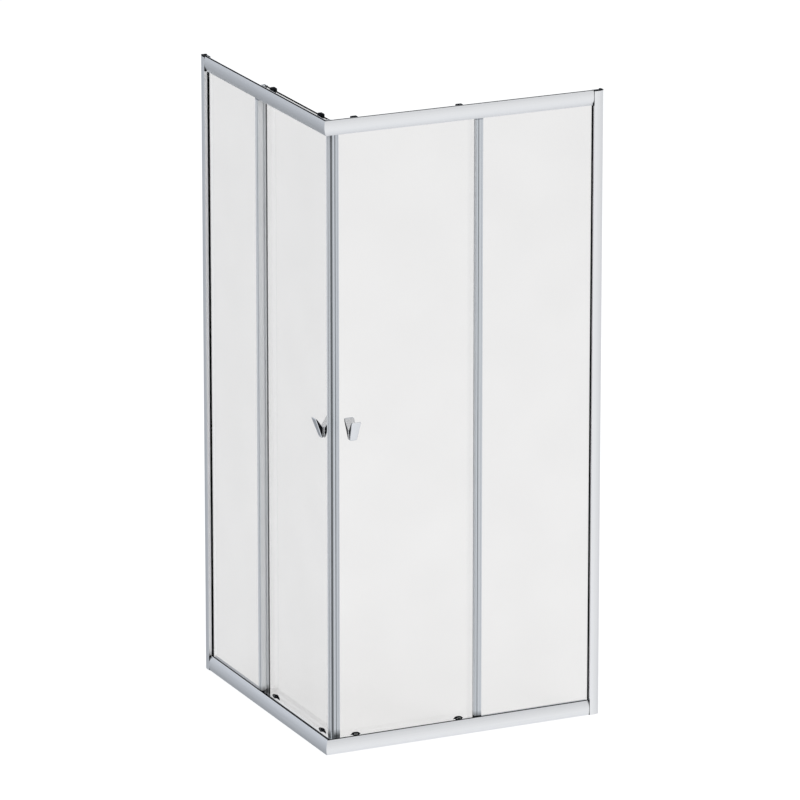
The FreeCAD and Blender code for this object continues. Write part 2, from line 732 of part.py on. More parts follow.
def wheel(place):
    """Wheel with a flared groove that runs on the rib of the bottom rail."""
    outer = WHEEL_OUTER
    inner = WHEEL_OUTER + WHEEL_WIDTH
    bore = BOLT + RUNNING_GAP
    root = RIB_WIDTH / 2 + SLIP_GAP
    points = [
        (bore, outer),
        (WHEEL_RIM, outer),
        (WHEEL_ROOT, RIB_PLANE - root),
        (WHEEL_ROOT, RIB_PLANE + root),
        (WHEEL_RIM, inner),
        (bore, inner),
    ]
    return turned(place, AXLE_LEVEL, points)


def roller_bolt(place):
    """Bolt that carries a wheel, from its head in the track into the body inside the glass."""
    tip = DOOR_INSIDE + BOLT_GRIP
    points = [
        (0, HEAD_PLANE),
        (BOLT_HEAD, HEAD_PLANE),
        (BOLT_HEAD, HEAD_PLANE + BOLT_HEAD_THICK),
        (BOLT, HEAD_PLANE + BOLT_HEAD_THICK),
        (BOLT, tip),
        (0, tip),
    ]
    return turned(place, AXLE_LEVEL, points)


def saddle(place):
    """Moulded roller body that straddles the edge of the door glass, in its turned-over place."""
    low = SADDLE_TOP
    edge = DOOR_EDGE
    high = AXLE_LEVEL + SADDLE_BELOW
    back = DOOR_INSIDE + SADDLE_INSIDE
    section = drawn(
        along_face,
        (PAD_PLANE, high),
        (PAD_PLANE, low + SADDLE_CHAMFER),
        (PAD_PLANE + SADDLE_CHAMFER, low),
        (back - SADDLE_CHAMFER, low),
        (back, low + SADDLE_CHAMFER),
        (back, high - SADDLE_CHAMFER),
        (back - SADDLE_CHAMFER, high),
        (DOOR_INSIDE, high),
        (DOOR_INSIDE, edge),
        (DOOR_PLANE, edge),
        (DOOR_PLANE, high),
    )
    body = run(section, place - SADDLE_WIDTH / 2, place + SADDLE_WIDTH / 2)
    return body.cut(rod(BOLT + SCREW_GAP, place, AXLE_LEVEL, PAD_PLANE, DOOR_INSIDE + BOLT_GRIP))


def roller_pad(place):
    """Disc between a bottom wheel and the outer face of the glass."""
    disc = rod(PAD_DISC, place, AXLE_LEVEL, PAD_PLANE, DOOR_PLANE)
    return disc.cut(rod(BOLT + SCREW_GAP, place, AXLE_LEVEL, PAD_PLANE, DOOR_PLANE))


def roller_knob(place):
    """Round nut with a notched rim on the inner face of the glass, which clamps a bottom roller."""
    back = DOOR_INSIDE + KNOB_THICK
    bore = BOLT + SCREW_GAP
    points = [
        (bore, DOOR_INSIDE),
        (KNOB, DOOR_INSIDE),
        (KNOB, back - KNOB_CHAMFER),
        (KNOB - KNOB_CHAMFER, back),
        (0, back),
        (0, DOOR_INSIDE + BOLT_GRIP),
        (bore, DOOR_INSIDE + BOLT_GRIP),
    ]
    body = turned(place, AXLE_LEVEL, points)
    for number in range(KNOB_NOTCHES):
        angle = 2 * math.pi * number / KNOB_NOTCHES
        s = place + KNOB * math.cos(angle)
        z = AXLE_LEVEL + KNOB * math.sin(angle)
        body = body.cut(rod(KNOB_NOTCH, s, z, DOOR_INSIDE, back))
    return body


# Handles


def handle_outer():
    """Chrome wedge: its lower half lies on the glass and its upper half leans away to a finger lip."""
    foot = HANDLE_FOOT
    top = HANDLE_FOOT + HANDLE_HEIGHT
    tip = DOOR_PLANE - HANDLE_REACH
    half = HANDLE_TOP_WIDTH / 2
    toe = HANDLE_TOE_WIDTH / 2
    side = drawn(
        along_face,
        (DOOR_PLANE, foot),
        (DOOR_PLANE - HANDLE_TOE, foot),
        (tip, top),
        (tip + HANDLE_LIP, top),
        (DOOR_PLANE, foot + HANDLE_SEAT),
    )
    front = Part.Face(Part.makePolygon([
        Vector(HANDLE_PLACE - toe, 0, foot),
        Vector(HANDLE_PLACE + toe, 0, foot),
        Vector(HANDLE_PLACE + half, 0, top),
        Vector(HANDLE_PLACE - half, 0, top),
        Vector(HANDLE_PLACE - toe, 0, foot),
    ]))
    wedge = run(side, HANDLE_PLACE - half, HANDLE_PLACE + half)
    wedge = wedge.common(front.extrude(Vector(0, DOOR_PLANE, 0)))
    front_edges = [edge for edge in wedge.Edges if edge.BoundBox.YMax < DOOR_PLANE - HANDLE_TOE / 2]
    wedge = wedge.makeFillet(HANDLE_EDGE, front_edges)
    level = HANDLE_FOOT + HANDLE_SEAT / 2
    screw_end = DOOR_PLANE - HANDLE_SCREW_GRIP
    return wedge.cut(rod(HANDLE_SCREW + SCREW_GAP, HANDLE_PLACE, level, screw_end, DOOR_PLANE))


def handle_inner():
    """The same wedge on the inside of the glass."""
    return handle_outer().mirror(Vector(0, DOOR_PLANE + GLASS / 2, 0), Vector(0, 1, 0))


def handle_screw():
    """Stud through the glass that draws the two wedges together."""
    level = HANDLE_FOOT + HANDLE_SEAT / 2
    start = DOOR_PLANE - HANDLE_SCREW_GRIP
    return rod(HANDLE_SCREW, HANDLE_PLACE, level, start, DOOR_INSIDE + HANDLE_SCREW_GRIP)


# Sub-assemblies, as node names with their solids on the right face


def frame_pieces(length):
    """Everything on one face that stays where it is."""
    bottom_rail, top_rail = both_ends(rail(length))
    return {
        "bottom_rail": [bottom_rail],
        "top_rail": [top_rail],
        "rail_gaskets": both_ends(rail_gasket(length)),
        "wall_channel": [wall_channel(length)],
        "jamb": [jamb(length)],
        "jamb_gasket": [jamb_gasket(length)],
        "wall_cap": [wall_cap(length)],
        "fixed_glass": [fixed_glass(length)],
        "edge_strip": [edge_strip()],
        "edge_seal": [edge_seal()],
        "edge_caps": both_ends(edge_cap()),
        "door_stops": both_ends(door_stop(length)),
    }


def door_pieces():
    """Everything that slides with one door, apart from its wheels."""
    return {
        "door_glass": [door_glass()],
        "leading_profile": [leading_profile()],
        "magnetic_seal": [magnetic_seal()],
        "trailing_profile": [trailing_profile()],
        "handle_outer": [handle_outer()],
        "handle_inner": [handle_inner()],
        "handle_screw": [handle_screw()],
        "top_roller_bodies": [turned_over(saddle(place)) for place in ROLLER_PLACES],
        "bottom_roller_pads": [roller_pad(place) for place in ROLLER_PLACES],
        "bottom_roller_knobs": [roller_knob(place) for place in ROLLER_PLACES],
        "roller_bolts": [bolt for place in ROLLER_PLACES for bolt in both_ends(roller_bolt(place))],
    }


def wheel_pieces():
    """The four wheels of one door."""
    pieces = {}
    for end, place in zip(("leading", "trailing"), ROLLER_PLACES):
        bottom_wheel, top_wheel = both_ends(wheel(place))
        pieces[f"bottom_{end}_wheel"] = [bottom_wheel]
        pieces[f"top_{end}_wheel"] = [top_wheel]
    return pieces


def on_face(solid, face):
    """A solid of the right face, put on the named face and moved to the origin of the whole part."""
    placed = solid.copy()
    if face == "left":
        placed = placed.mirror(Vector(0, 0, 0), Vector(1, -1, 0))
    placed.translate(Vector(-WIDTH / 2, -DEPTH / 2, 0))
    return placed


def all_nodes():
    """Every node of the enclosure with its solids in place."""
    nodes = {}
    for face, length in FACES.items():
        for pieces in (frame_pieces(length), door_pieces(), wheel_pieces()):
            for name, solids in pieces.items():
                nodes[f"{face}_{name}"] = [on_face(solid, face) for solid in solids]
    bottom_key, top_key = both_ends(corner_key())
    nodes["bottom_corner_key"] = [on_face(bottom_key, "right")]
    nodes["top_corner_key"] = [on_face(top_key, "right")]
    nodes["top_corner_plug"] = [on_face(turned_over(corner_plug()), "right")]
    nodes["corner_screws"] = [on_face(s, face) for face in FACES for s in both_ends(corner_screw())]
    rail_screws = []
    jamb_screws = []
    for face, length in FACES.items():
        rail_screws += [on_face(screw, face) for screw in both_ends(rail_screw(length))]
        jamb_screws += [on_face(jamb_screw(length, level), face) for level in jamb_screw_levels()]
    nodes["rail_screws"] = rail_screws
    nodes["jamb_screws"] = jamb_screws
    return nodes


os.makedirs("parts", exist_ok=True)
for name, solids in all_nodes().items():
    shape = solids[0] if len(solids) == 1 else Part.makeCompound(solids)
    shape.exportStep(f"parts/{name}.step")
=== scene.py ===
"""Looks of a corner shower enclosure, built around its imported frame.

Metres, +Z up. The right face looks along -Y and the left face along -X, and they meet at the outer corner.
Each face has directions of its own: along it from the outer corner, inwards from its outer plane, and up.
"""

from __future__ import annotations

import logging
import math
from dataclasses import dataclass
from enum import Enum
from typing import Sequence

import bmesh
import bpy
import numpy as np
import numpy.typing as npt
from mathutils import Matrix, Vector


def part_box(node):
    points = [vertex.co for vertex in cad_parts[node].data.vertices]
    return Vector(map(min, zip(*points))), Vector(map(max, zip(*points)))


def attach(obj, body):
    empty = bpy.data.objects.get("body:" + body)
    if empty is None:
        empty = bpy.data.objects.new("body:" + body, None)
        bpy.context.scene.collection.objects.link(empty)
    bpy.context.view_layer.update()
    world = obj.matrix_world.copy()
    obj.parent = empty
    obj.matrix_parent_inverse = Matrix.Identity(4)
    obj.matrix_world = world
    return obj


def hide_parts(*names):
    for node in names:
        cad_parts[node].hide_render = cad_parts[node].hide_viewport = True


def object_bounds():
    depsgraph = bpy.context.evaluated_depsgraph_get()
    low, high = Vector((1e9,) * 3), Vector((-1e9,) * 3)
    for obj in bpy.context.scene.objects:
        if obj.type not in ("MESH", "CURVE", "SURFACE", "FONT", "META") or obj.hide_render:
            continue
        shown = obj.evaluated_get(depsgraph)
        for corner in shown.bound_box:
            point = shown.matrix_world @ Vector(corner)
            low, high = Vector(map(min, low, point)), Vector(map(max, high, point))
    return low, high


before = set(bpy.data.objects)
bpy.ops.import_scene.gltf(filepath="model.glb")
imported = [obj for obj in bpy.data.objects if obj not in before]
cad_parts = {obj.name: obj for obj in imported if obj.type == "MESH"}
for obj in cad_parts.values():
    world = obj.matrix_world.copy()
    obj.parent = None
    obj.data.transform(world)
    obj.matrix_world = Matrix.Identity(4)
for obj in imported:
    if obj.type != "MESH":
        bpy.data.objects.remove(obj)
cad_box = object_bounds()

Array = npt.NDArray[np.float64]
Tree = bpy.types.NodeTree
Socket = bpy.types.NodeSocket
Input = float | tuple | Socket
Layer = tuple[Socket, str]  # a pattern from zero to one, and the hex colour where it is one
Triple = tuple[float, float, float]
Cell = Triple  # size of a patch along X, Y and Z
Spot = tuple[float, float]  # place along a face from the outer corner, and height

MM = 0.001
TURN = 2 * math.pi
WELD = 1e-7  # points nearer than this are one point
CREASE = math.radians(32)  # faces that meet at more than this keep a sharp edge
OUTER_CORNER = np.array([cad_box[0].x, cad_box[0].y, 0.0])
RAIL_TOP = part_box("right_bottom_rail")[1].z
DOOR_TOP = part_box("right_door_glass")[1].z
WHEEL_LEVELS = ("bottom", "top")
WHEEL_ENDS = ("leading", "trailing")

# Sockets of a Mix node that is set to colours
MIX_FACTOR = 0
MIX_A = 6
MIX_B = 7
MIX_RESULT = 2

# Looks that several finishes share
NOISE_LOW = 0.3  # nearly all of a noise lies between these two
NOISE_HIGH = 0.7
GRAIN_DETAIL = 1.0
RECESS_SAMPLES = 8
LINE_LENGTH = 400 * MM
LINE_SPACING = 2.5 * MM  # die lines are near 0.5 mm apart; drawn coarser so that they show
SATIN_SWING = 0.08  # how far the roughness of a satin surface varies, as a share of it

log = logging.getLogger("shower_enclosure")


# Directions and places


class Axis(Enum):
    """Directions of the row frame."""

    X = (1.0, 0.0, 0.0)
    Y = (0.0, 1.0, 0.0)
    Z = (0.0, 0.0, 1.0)


@dataclass(frozen=True)
class Extent:
    """Box of a node in the directions of its face, each a lowest and a highest value."""

    along: tuple[float, float]
    inwards: tuple[float, float]
    up: tuple[float, float]


class Face(Enum):
    """The two glazed faces."""

    RIGHT = "right"
    LEFT = "left"

    @property
    def run(self) -> Axis:
        """Direction along the face."""
        return Axis.X if self is Face.RIGHT else Axis.Y

    @property
    def through(self) -> Axis:
        """Direction through the glass."""
        return Axis.Y if self is Face.RIGHT else Axis.X

    @property
    def door(self) -> str:
        """Body of this face's sliding door."""
        return self.node("door")

    def node(self, name: str) -> str:
        """Full name of one of this face's nodes or bodies."""
        return f"{self.value}_{name}"

    def place(self, along: npt.ArrayLike, inwards: npt.ArrayLike, up: npt.ArrayLike) -> Array:
        """Puts points of this face into the row frame; the left face swaps the first two coordinates."""
        flat = (along, inwards) if self is Face.RIGHT else (inwards, along)
        return np.stack(np.broadcast_arrays(*flat, up), axis=-1) + OUTER_CORNER

    def extent(self, name: str) -> Extent:
        """Finds the box of one of this face's nodes.

        Args:
            name: The node's name without the face.

        Returns:
            Its extent in this face's directions.
        """
        low, high = (np.array(corner) - OUTER_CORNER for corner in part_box(self.node(name)))
        first, second = (0, 1) if self is Face.RIGHT else (1, 0)
        return Extent((low[first], high[first]), (low[second], high[second]), (low[2], high[2]))


# Nodes and finishes


def linear(hex_colour: str) -> tuple[float, float, float, float]:
    """Turns an sRGB hex colour to linear values.

    A share up to 0.04045 is divided by 12.92. A higher one has 0.055 added, is divided by 1.055 and is
    raised to the power of 2.4.

    Args:
        hex_colour: Six hex digits after a hash sign.

    Returns:
        Linear red, green and blue, and an alpha of one.
    """
    shares = [int(hex_colour[start:start + 2], 16) / 255 for start in (1, 3, 5)]
    red, green, blue = (c / 12.92 if c <= 0.04045 else ((c + 0.055) / 1.055) ** 2.4 for c in shares)
    return red, green, blue, 1.0


def add_node(
    tree: Tree,
    kind: str,
    inputs: dict[str | int, Input] | None = None,
    **settings: str | bool | float,
) -> bpy.types.Node:
    """Adds a node with its settings, and sets or links its inputs.

    Args:
        tree: The node tree that gets the node.
        kind: The node's type.
        inputs: A value or another node's socket for each named or numbered input.
        **settings: Properties of the node itself.

    Returns:
        The new node.
    """
    node = tree.nodes.new(kind)
    for name, value in settings.items():
        setattr(node, name, value)
    for key, value in (inputs or {}).items():
        if isinstance(value, Socket):
            tree.links.new(value, node.inputs[key])
        else:
            node.inputs[key].default_value = value
    return node


def empty_tree(owner: bpy.types.Material | bpy.types.World) -> Tree:
    """Clears the node tree of a new material or world.

    Args:
        owner: The material or world.

    Returns:
        Its tree, with no nodes.
    """
    owner.use_nodes = True
    owner.node_tree.nodes.clear()
    return owner.node_tree


def height(tree: Tree) -> Socket:
    """Height above the floor, on the object's own coordinates."""
    place = add_node(tree, "ShaderNodeTexCoord").outputs["Object"]
    return add_node(tree, "ShaderNodeSeparateXYZ", {0: place}).outputs["Z"]


def mottle(tree: Tree, cell: Cell, detail: float) -> Socket:
    """Soft noise on the object's own coordinates.

    Args:
        tree: The material's node tree.
        cell: Size of one patch, in metres.
        detail: How many finer layers the noise has.

    Returns:
        The noise, around a half.
    """
    place = add_node(tree, "ShaderNodeTexCoord").outputs["Object"]
    scale = tuple(1 / size for size in cell)
    patches = add_node(tree, "ShaderNodeMapping", {"Vector": place, "Scale": scale}).outputs["Vector"]
    noise = {"Vector": patches, "Scale": 1.0, "Detail": detail}
    return add_node(tree, "ShaderNodeTexNoise", noise).outputs["Fac"]


def layered(tree: Tree, base: str, layers: Sequence[Layer]) -> Socket:
    """Lays colours over a base colour, each where its pattern shows.

    Args:
        tree: The node tree that gets the layers.
        base: Hex colour of the base.
        layers: The layers, from the lowest up.

    Returns:
        The colour of them all.
    """
    colour = linear(base)
    for pattern, hex_colour in layers:
        mix = {MIX_FACTOR: pattern, MIX_A: colour, MIX_B: linear(hex_colour)}
        colour = add_node(tree, "ShaderNodeMix", mix, data_type="RGBA").outputs[MIX_RESULT]
    return colour


def die_lines(way: Axis) -> Cell:
    """Patches that look like the die lines of an extrusion along this axis."""
    return tuple(LINE_LENGTH if share else LINE_SPACING for share in way.value)


def satin(roughness: float) -> tuple[float, float]:
    """Roughness on the die lines of an anodised surface, and between them."""
    return (1 - SATIN_SWING) * roughness, (1 + SATIN_SWING) * roughness


@dataclass(frozen=True)
class Finish:
    """What a surface is made of and how it was made, in patches of two colours."""

    name: str
    dark: str
    light: str
    roughness: tuple[float, float]  # of the dark and of the light patches
    cell: Cell
    detail: float = 2.0  # how many finer layers the patches have
    metal: float = 0.0
    index: float = 1.5
    gloss: float = 0.5  # less where the grain swallows the mirror-like shine
    clear: float = 0.0  # share of the light that goes through
    relief: float = 0.0  # height of the patches, or of the grain where there is one
    relief_share: float = 0.2  # share of that height that shows
    grain: float = 0.0  # size of a finer grain

    def material(self) -> bpy.types.Material:
        """Makes the material the first time, and finds it again later.

        Returns:
            The finish's Blender material.
        """
        found = bpy.data.materials.get(self.name)
        if found is not None:
            return found
        made = bpy.data.materials.new(self.name)
        tree = empty_tree(made)
        add_node(tree, "ShaderNodeOutputMaterial", {"Surface": self.paint(tree).outputs[0]})
        return made

    def layers(self, tree: Tree) -> list[Layer]:
        """Colours that lie over the patches; a plain finish has none."""
        return []

    def paint(self, tree: Tree) -> bpy.types.Node:
        """Gives the patches to the colour, the roughness and the relief.

        Args:
            tree: The material's node tree.

        Returns:
            The shader node.
        """
        patches = mottle(tree, self.cell, self.detail)
        low, high = self.roughness
        inputs = {
            "Base Color": layered(tree, self.dark, [(patches, self.light), *self.layers(tree)]),
            "Metallic": self.metal,
            "Roughness": low,
            "IOR": self.index,
            "Specular IOR Level": self.gloss,
            "Transmission Weight": self.clear,
        }
        if high > low:
            limits = {"From Min": NOISE_LOW, "From Max": NOISE_HIGH, "To Min": low, "To Max": high}
            spread = add_node(tree, "ShaderNodeMapRange", {"Value": patches, **limits})
            inputs["Roughness"] = spread.outputs["Result"]
        if self.relief:
            heights = mottle(tree, (self.grain,) * 3, GRAIN_DETAIL) if self.grain else patches
            bump = {"Height": heights, "Distance": self.relief, "Strength": self.relief_share}
            inputs["Normal"] = add_node(tree, "ShaderNodeBump", bump).outputs["Normal"]
        return add_node(tree, "ShaderNodeBsdfPrincipled", inputs)


@dataclass(frozen=True)
class AnodisedAluminium(Finish):
    """Extruded and anodised: a silvery sheen with faint die lines, and painted shade where it is closed in.
    """

    cell: Cell = die_lines(Axis.Z)
    metal: float = 1.0
    relief: float = 0.02 * MM
    # colour of the painted shade in the recesses and of the painted shadow line
    shadow: str = "#101214"
    reach: float = 18 * MM  # how far away the other side of a recess may be
    power: float = 1.6  # how quickly the painted shade in a recess turns dark
    shadow_line: float = 0.0  # height of the painted shadow line along the upper edge of a bottom rail's front, below the glass

    def layers(self, tree: Tree) -> list[Layer]:
        """Paints shade into the recesses of the piece, and paints the shadow line along the glass.

        Args:
            tree: The material's node tree.

        Returns:
            The two layers.
        """
        settings = {"samples": RECESS_SAMPLES, "only_local": True}
        around = add_node(tree, "ShaderNodeAmbientOcclusion", {"Distance": self.reach}, **settings)
        powered = {0: around.outputs["AO"], 1: self.power}
        open_share = add_node(tree, "ShaderNodeMath", powered, operation="POWER").outputs[0]
        closed = add_node(tree, "ShaderNodeMath", {0: 1.0, 1: open_share}, operation="SUBTRACT").outputs[0]
        at_glass = {0: height(tree), 1: RAIL_TOP, 2: self.shadow_line}
        shadow_line = add_node(tree, "ShaderNodeMath", at_glass, operation="COMPARE").outputs[0]
        return [(closed, self.shadow), (shadow_line, self.shadow)]


@dataclass(frozen=True)
class EtchedAluminium(AnodisedAluminium):
    """Extruded, etched and anodised: a duller silver, with painted shade on its foot where it stands by the
    rails.
    """

    shadow: str = "#565A60"
    reach: float = 3 * MM
    foot: float = 20 * MM  # height above the rail over which the painted shade on the foot of an upright fades
    foot_shade: float = 0.8
    foot_shade_colour: str = "#101214"

    def layers(self, tree: Tree) -> list[Layer]:
        """Paints shade on the foot as well.

        Args:
            tree: The material's node tree.

        Returns:
            The plain metal's layers and that of the foot.
        """
        down = {"Value": height(tree), "From Min": RAIL_TOP + self.foot, "From Max": RAIL_TOP}
        share = add_node(tree, "ShaderNodeMapRange", {**down, "To Max": self.foot_shade}).outputs["Result"]
        return [*super().layers(tree), (share, self.foot_shade_colour)]


@dataclass(frozen=True)
class FloatGlass(Finish):
    """Faces of clear toughened float glass: see-through, faintly grey, with a slow roller wave and a painted
    dark rim.
    """

    roughness: tuple[float, float] = (0.0, 0.0)
    cell: Cell = (150 * MM,) * 3
    detail: float = 0.0
    clear: float = 1.0
    relief: float = 0.05 * MM
    relief_share: float = 0.1
    rim: float = 2 * MM  # height of the painted dark border at the top of the pane, painted shade for the dark look that the ground top edge throws into it
    rim_shade_colour: str = "#0A0B0B"

    def layers(self, tree: Tree) -> list[Layer]:
        """Paints the dark rim.

        Args:
            tree: The material's node tree.

        Returns:
            The rim's layer.
        """
        at_top = {0: height(tree), 1: DOOR_TOP - self.rim}
        rim = add_node(tree, "ShaderNodeMath", at_top, operation="GREATER_THAN").outputs[0]
        return [(rim, self.rim_shade_colour)]


@dataclass(frozen=True)
class MouldedPlastic(Finish):
    """Moulded plastic with slow patches, and a fine spark-eroded grain that softens its highlights."""

    cell: Cell = (12 * MM,) * 3
    index: float = 1.53
    gloss: float = 0.01
    relief: float = 0.03 * MM
    relief_share: float = 0.35
    grain: float = 0.8 * MM  # near 0.2 mm on the real surface; drawn coarser so that it shows


@dataclass(frozen=True)
class SoftSeal(Finish):
    """Soft PVC, extruded: faint streaks and a waxy sheen."""

    cell: Cell = (1.5 * MM, 1.5 * MM, 80 * MM)
    detail: float = 1.0
    index: float = 1.53
    relief: float = 0.03 * MM


SILVER = ("#EEF0F3", "#F8F9FB")
# Rails and jambs: a bright, even silver; the rails take strong painted shade in their recesses and a painted
# shadow line under the glass
RAIL_ALUMINIUM = {
    face: AnodisedAluminium(
        f"anodised_aluminium_rail_{face.value}", *SILVER, satin(0.36), die_lines(face.run),
        power=4.0, shadow_line=shadow_line,
    )
    for face, shadow_line in ((Face.RIGHT, 1.3 * MM), (Face.LEFT, 0.1 * MM))
}
# Polished by the wheels, so that it nearly mirrors
TRACK_ALUMINIUM = AnodisedAluminium("anodised_aluminium_track_polished", *SILVER, satin(0.08), power=0.5)
UPRIGHT_ALUMINIUM = AnodisedAluminium("anodised_aluminium_upright", *SILVER, satin(0.36))
# Painted a duller grey as painted shade, since the channel lies behind the jamb
WALL_SHADED_ALUMINIUM = AnodisedAluminium("anodised_aluminium_wall_painted_shade", "#B4B9BF", "#BFC4CA", satin(0.45))
# Lit and shaded copies of one etched metal: the right face's is painted darker and the left face's paler, and
# the left one scatters part of the light
ETCHED_ALUMINIUM = {
    Face.RIGHT: EtchedAluminium("anodised_aluminium_etched_painted_shade_right", "#D2D7DC", "#DDE1E6", satin(0.4)),
    Face.LEFT: EtchedAluminium("anodised_aluminium_etched_painted_light_left", "#F0F3F6", "#FAFBFC", satin(0.4), metal=0.6),
}
# Clear with a slight warm grey, without the green of thicker glass
PANE_GLASS = FloatGlass("toughened_float_glass", "#E4E3E2", "#E8E7E6")
# Ground edges with fine marks, painted nearly black as painted shade: so much glass lies behind them that
# they look dark
GLASS_EDGE = Finish("float_glass_ground_edge", "#070B0A", "#161B1A", (0.3, 0.5), (1.5 * MM,) * 3, gloss=0.0)
# Bright chrome on a polished casting: near mirror, with faint polishing marks
HANDLE_CHROME = Finish(
    "chrome_plated_casting", "#E6E9ED", "#F2F4F7", (0.05, 0.09), (3 * MM, 3 * MM, 12 * MM),
    detail=3.0, metal=1.0,
)
# Stainless steel, turned: greyer than chrome, with fine tool marks
SCREW_STEEL = Finish("stainless_steel_turned", "#A9ABAE", "#C6C8CA", (0.21, 0.34), (0.8 * MM,) * 3, metal=1.0)
# Dull black and mid grey ABS, and acetal with a waxy white
BLACK_ABS = MouldedPlastic("abs_moulded_black", "#141518", "#24262A", (0.36, 0.46))
GREY_ABS = MouldedPlastic("abs_moulded_grey", "#A9ADB3", "#B4B8BE", (0.46, 0.56))
WHITE_ACETAL = MouldedPlastic(
    "acetal_moulded_white", "#E4E4DF", "#EFEFEB", (0.32, 0.42), index=1.48, gloss=0.5
)
# Black EPDM, extruded: dull, with a faint grey bloom in long streaks
GLAZING_EPDM = Finish(
    "epdm_extruded_black", "#060708", "#121314", (0.55, 0.68), (2 * MM, 2 * MM, 60 * MM),
    index=1.52, gloss=0.01, relief=0.05 * MM,
)
# Pale lip seals; the magnetic seal is painted dark on the right face as painted shade, and pale on the left
# as painted light
LIP_PVC = SoftSeal("soft_pvc_extruded_pale", "#F2F4F6", "#FAFBFC", (0.33, 0.43))
MAGNET_PVC = {
    Face.RIGHT: SoftSeal("magnetic_pvc_extruded_painted_shade", "#54585C", "#6E7276", (0.37, 0.47)),
    Face.LEFT: SoftSeal("magnetic_pvc_extruded_painted_light", "#DFE3E6", "#EEF1F3", (0.37, 0.47)),
}


# Surfaces


@dataclass(frozen=True)
class Surface:
    """A grid of points that is stitched to faces.

    Rows run along the first index and columns along the second. A round direction joins its last line
    to its first, and a capped surface closes its first and last rows with one face each.
    """

    points: Array
    round_rows: bool = False
    round_columns: bool = True
    capped: bool = False
    other_columns: tuple[int, ...] = ()  # columns of cells that have the second finish

    def faces(self) -> list[list[int]]:
        """Numbers the corners of the grid's faces.

        Returns:
            Four corners for each cell, and all corners of a row for each cap.
        """
        rows, columns = self.points.shape[:2]
        grid = np.arange(rows * columns).reshape(rows, columns)
        ends = [grid[0].tolist(), grid[-1, ::-1].tolist()] if self.capped else []
        if self.round_rows:
            grid = np.vstack([grid, grid[:1]])
        if self.round_columns:
            grid = np.hstack([grid, grid[:, :1]])
        cells = np.stack([grid[:-1, :-1], grid[1:, :-1], grid[1:, 1:], grid[:-1, 1:]], axis=-1)
        return cells.reshape(-1, 4).tolist() + ends

    def finish_numbers(self) -> Array:
        """Numbers the finishes of the grid's faces.

        Returns:
            Zero or one for each face, in the order of the faces.
        """
        rows, columns = self.points.shape[:2]
        across = np.zeros(columns if self.round_columns else columns - 1)
        across[list(self.other_columns)] = 1
        cells = np.tile(across, rows if self.round_rows else rows - 1)
        return np.append(cells, [0, 0] if self.capped else [])


def rounded_loop(corners: Array, radius: float, steps: int = 4) -> Array:
    """Rounds off the corners of a closed outline.

    Each corner becomes the parabola that starts one radius before it and ends one radius after it:
    (1 - t) squared times the start, plus 2 t (1 - t) times the corner, plus t squared times the end.

    Args:
        corners: Corner points of the outline.
        radius: How far from a corner its rounding starts, at most half a side.
        steps: Points on each rounding.

    Returns:
        The points of the rounded outline.
    """
    ways = np.stack([np.roll(corners, step, axis=0) - corners for step in (1, -1)])
    lengths = np.linalg.norm(ways, axis=2, keepdims=True)
    start, end = (corners + ways * np.minimum(radius / lengths, 0.5))[:, :, None]
    t = np.linspace(0, 1, steps)[None, :, None]
    bends = (1 - t) ** 2 * start + 2 * t * (1 - t) * corners[:, None] + t ** 2 * end
    return bends.reshape(-1, 2)


def end_inset(from_start: Array, from_end: Array, radius: float) -> Array:
    """How far a section draws in near the two ends of its path, as a quarter circle of this radius."""
    # Radius less the root of radius squared less the square of what is left of the radius
    left = radius - np.clip(np.minimum(from_start, from_end), 0, radius)
    return radius - np.sqrt(radius ** 2 - left ** 2)


def end_stations(start: float, end: float, radius: float, between: int, steps: int = 5) -> Array:
    """Places along a path that lie close together on its rounded ends.

    Args:
        start: Start of the path.
        end: End of the path.
        radius: Radius of the rounded ends.
        between: Places on the straight middle.
        steps: Places on each rounded end.

    Returns:
        The places in order; on an end they follow one less the cosine of equal angles.
    """
    arc = radius * (1 - np.cos(np.linspace(0, math.pi / 2, steps)))
    middle = np.linspace(start + radius, end - radius, between + 2)[1:-1]
    return np.concatenate([start + arc, middle, (end - arc)[::-1]])


def drawn_in(loop: Array, insets: Array) -> Array:
    """Copies of an outline, each moved in along its own normals.

    The normal of a point is the way from the point before it to the one after it, turned outwards by a
    right angle. The point moves against its normal by the inset.

    Args:
        loop: Points of a closed outline.
        insets: How far each copy is moved in.

    Returns:
        One row of points for each inset.
    """
    tangent = np.roll(loop, -1, axis=0) - np.roll(loop, 1, axis=0)
    area = np.sum(loop[:, 0] * np.roll(loop[:, 1], -1) - np.roll(loop[:, 0], -1) * loop[:, 1])
    outward = np.stack([tangent[:, 1], -tangent[:, 0]], axis=-1) * np.sign(area)
    outward = outward / np.linalg.norm(outward, axis=1, keepdims=True)
    return loop[None] - outward[None] * insets[:, None, None]


def round_angles(sides: int) -> Array:
    """Equal angles once round, as one row."""
    return np.linspace(0, TURN, sides, endpoint=False)[None]


def turned(face: Face, axis: Spot, radius: Array, inwards: Array, sides: int) -> Array:
    """Turns a profile of radius and depth about an axis through a face, to a grid of profile by angle."""
    # A point lies at the axis plus its radius times the cosine along the face and times the sine upwards
    angles = round_angles(sides)
    return face.place(axis[0] + radius * np.cos(angles), inwards, axis[1] + radius * np.sin(angles))


def of_polygons(mesh: bpy.types.Mesh, name: str) -> Array:
    """Reads one vector of every polygon.

    Args:
        mesh: The mesh.
        name: Which vector: the normal or the center.

    Returns:
        One row for each polygon.
    """
    values = np.empty(3 * len(mesh.polygons), np.float32)
    mesh.polygons.foreach_get(name, values)
    return values.reshape(-1, 3).astype(float)


def number_finishes(mesh: bpy.types.Mesh, numbers: np.ndarray) -> None:
    """Says which of its finishes each face of a mesh has."""
    mesh.polygons.foreach_set("material_index", numbers.astype(np.int32))


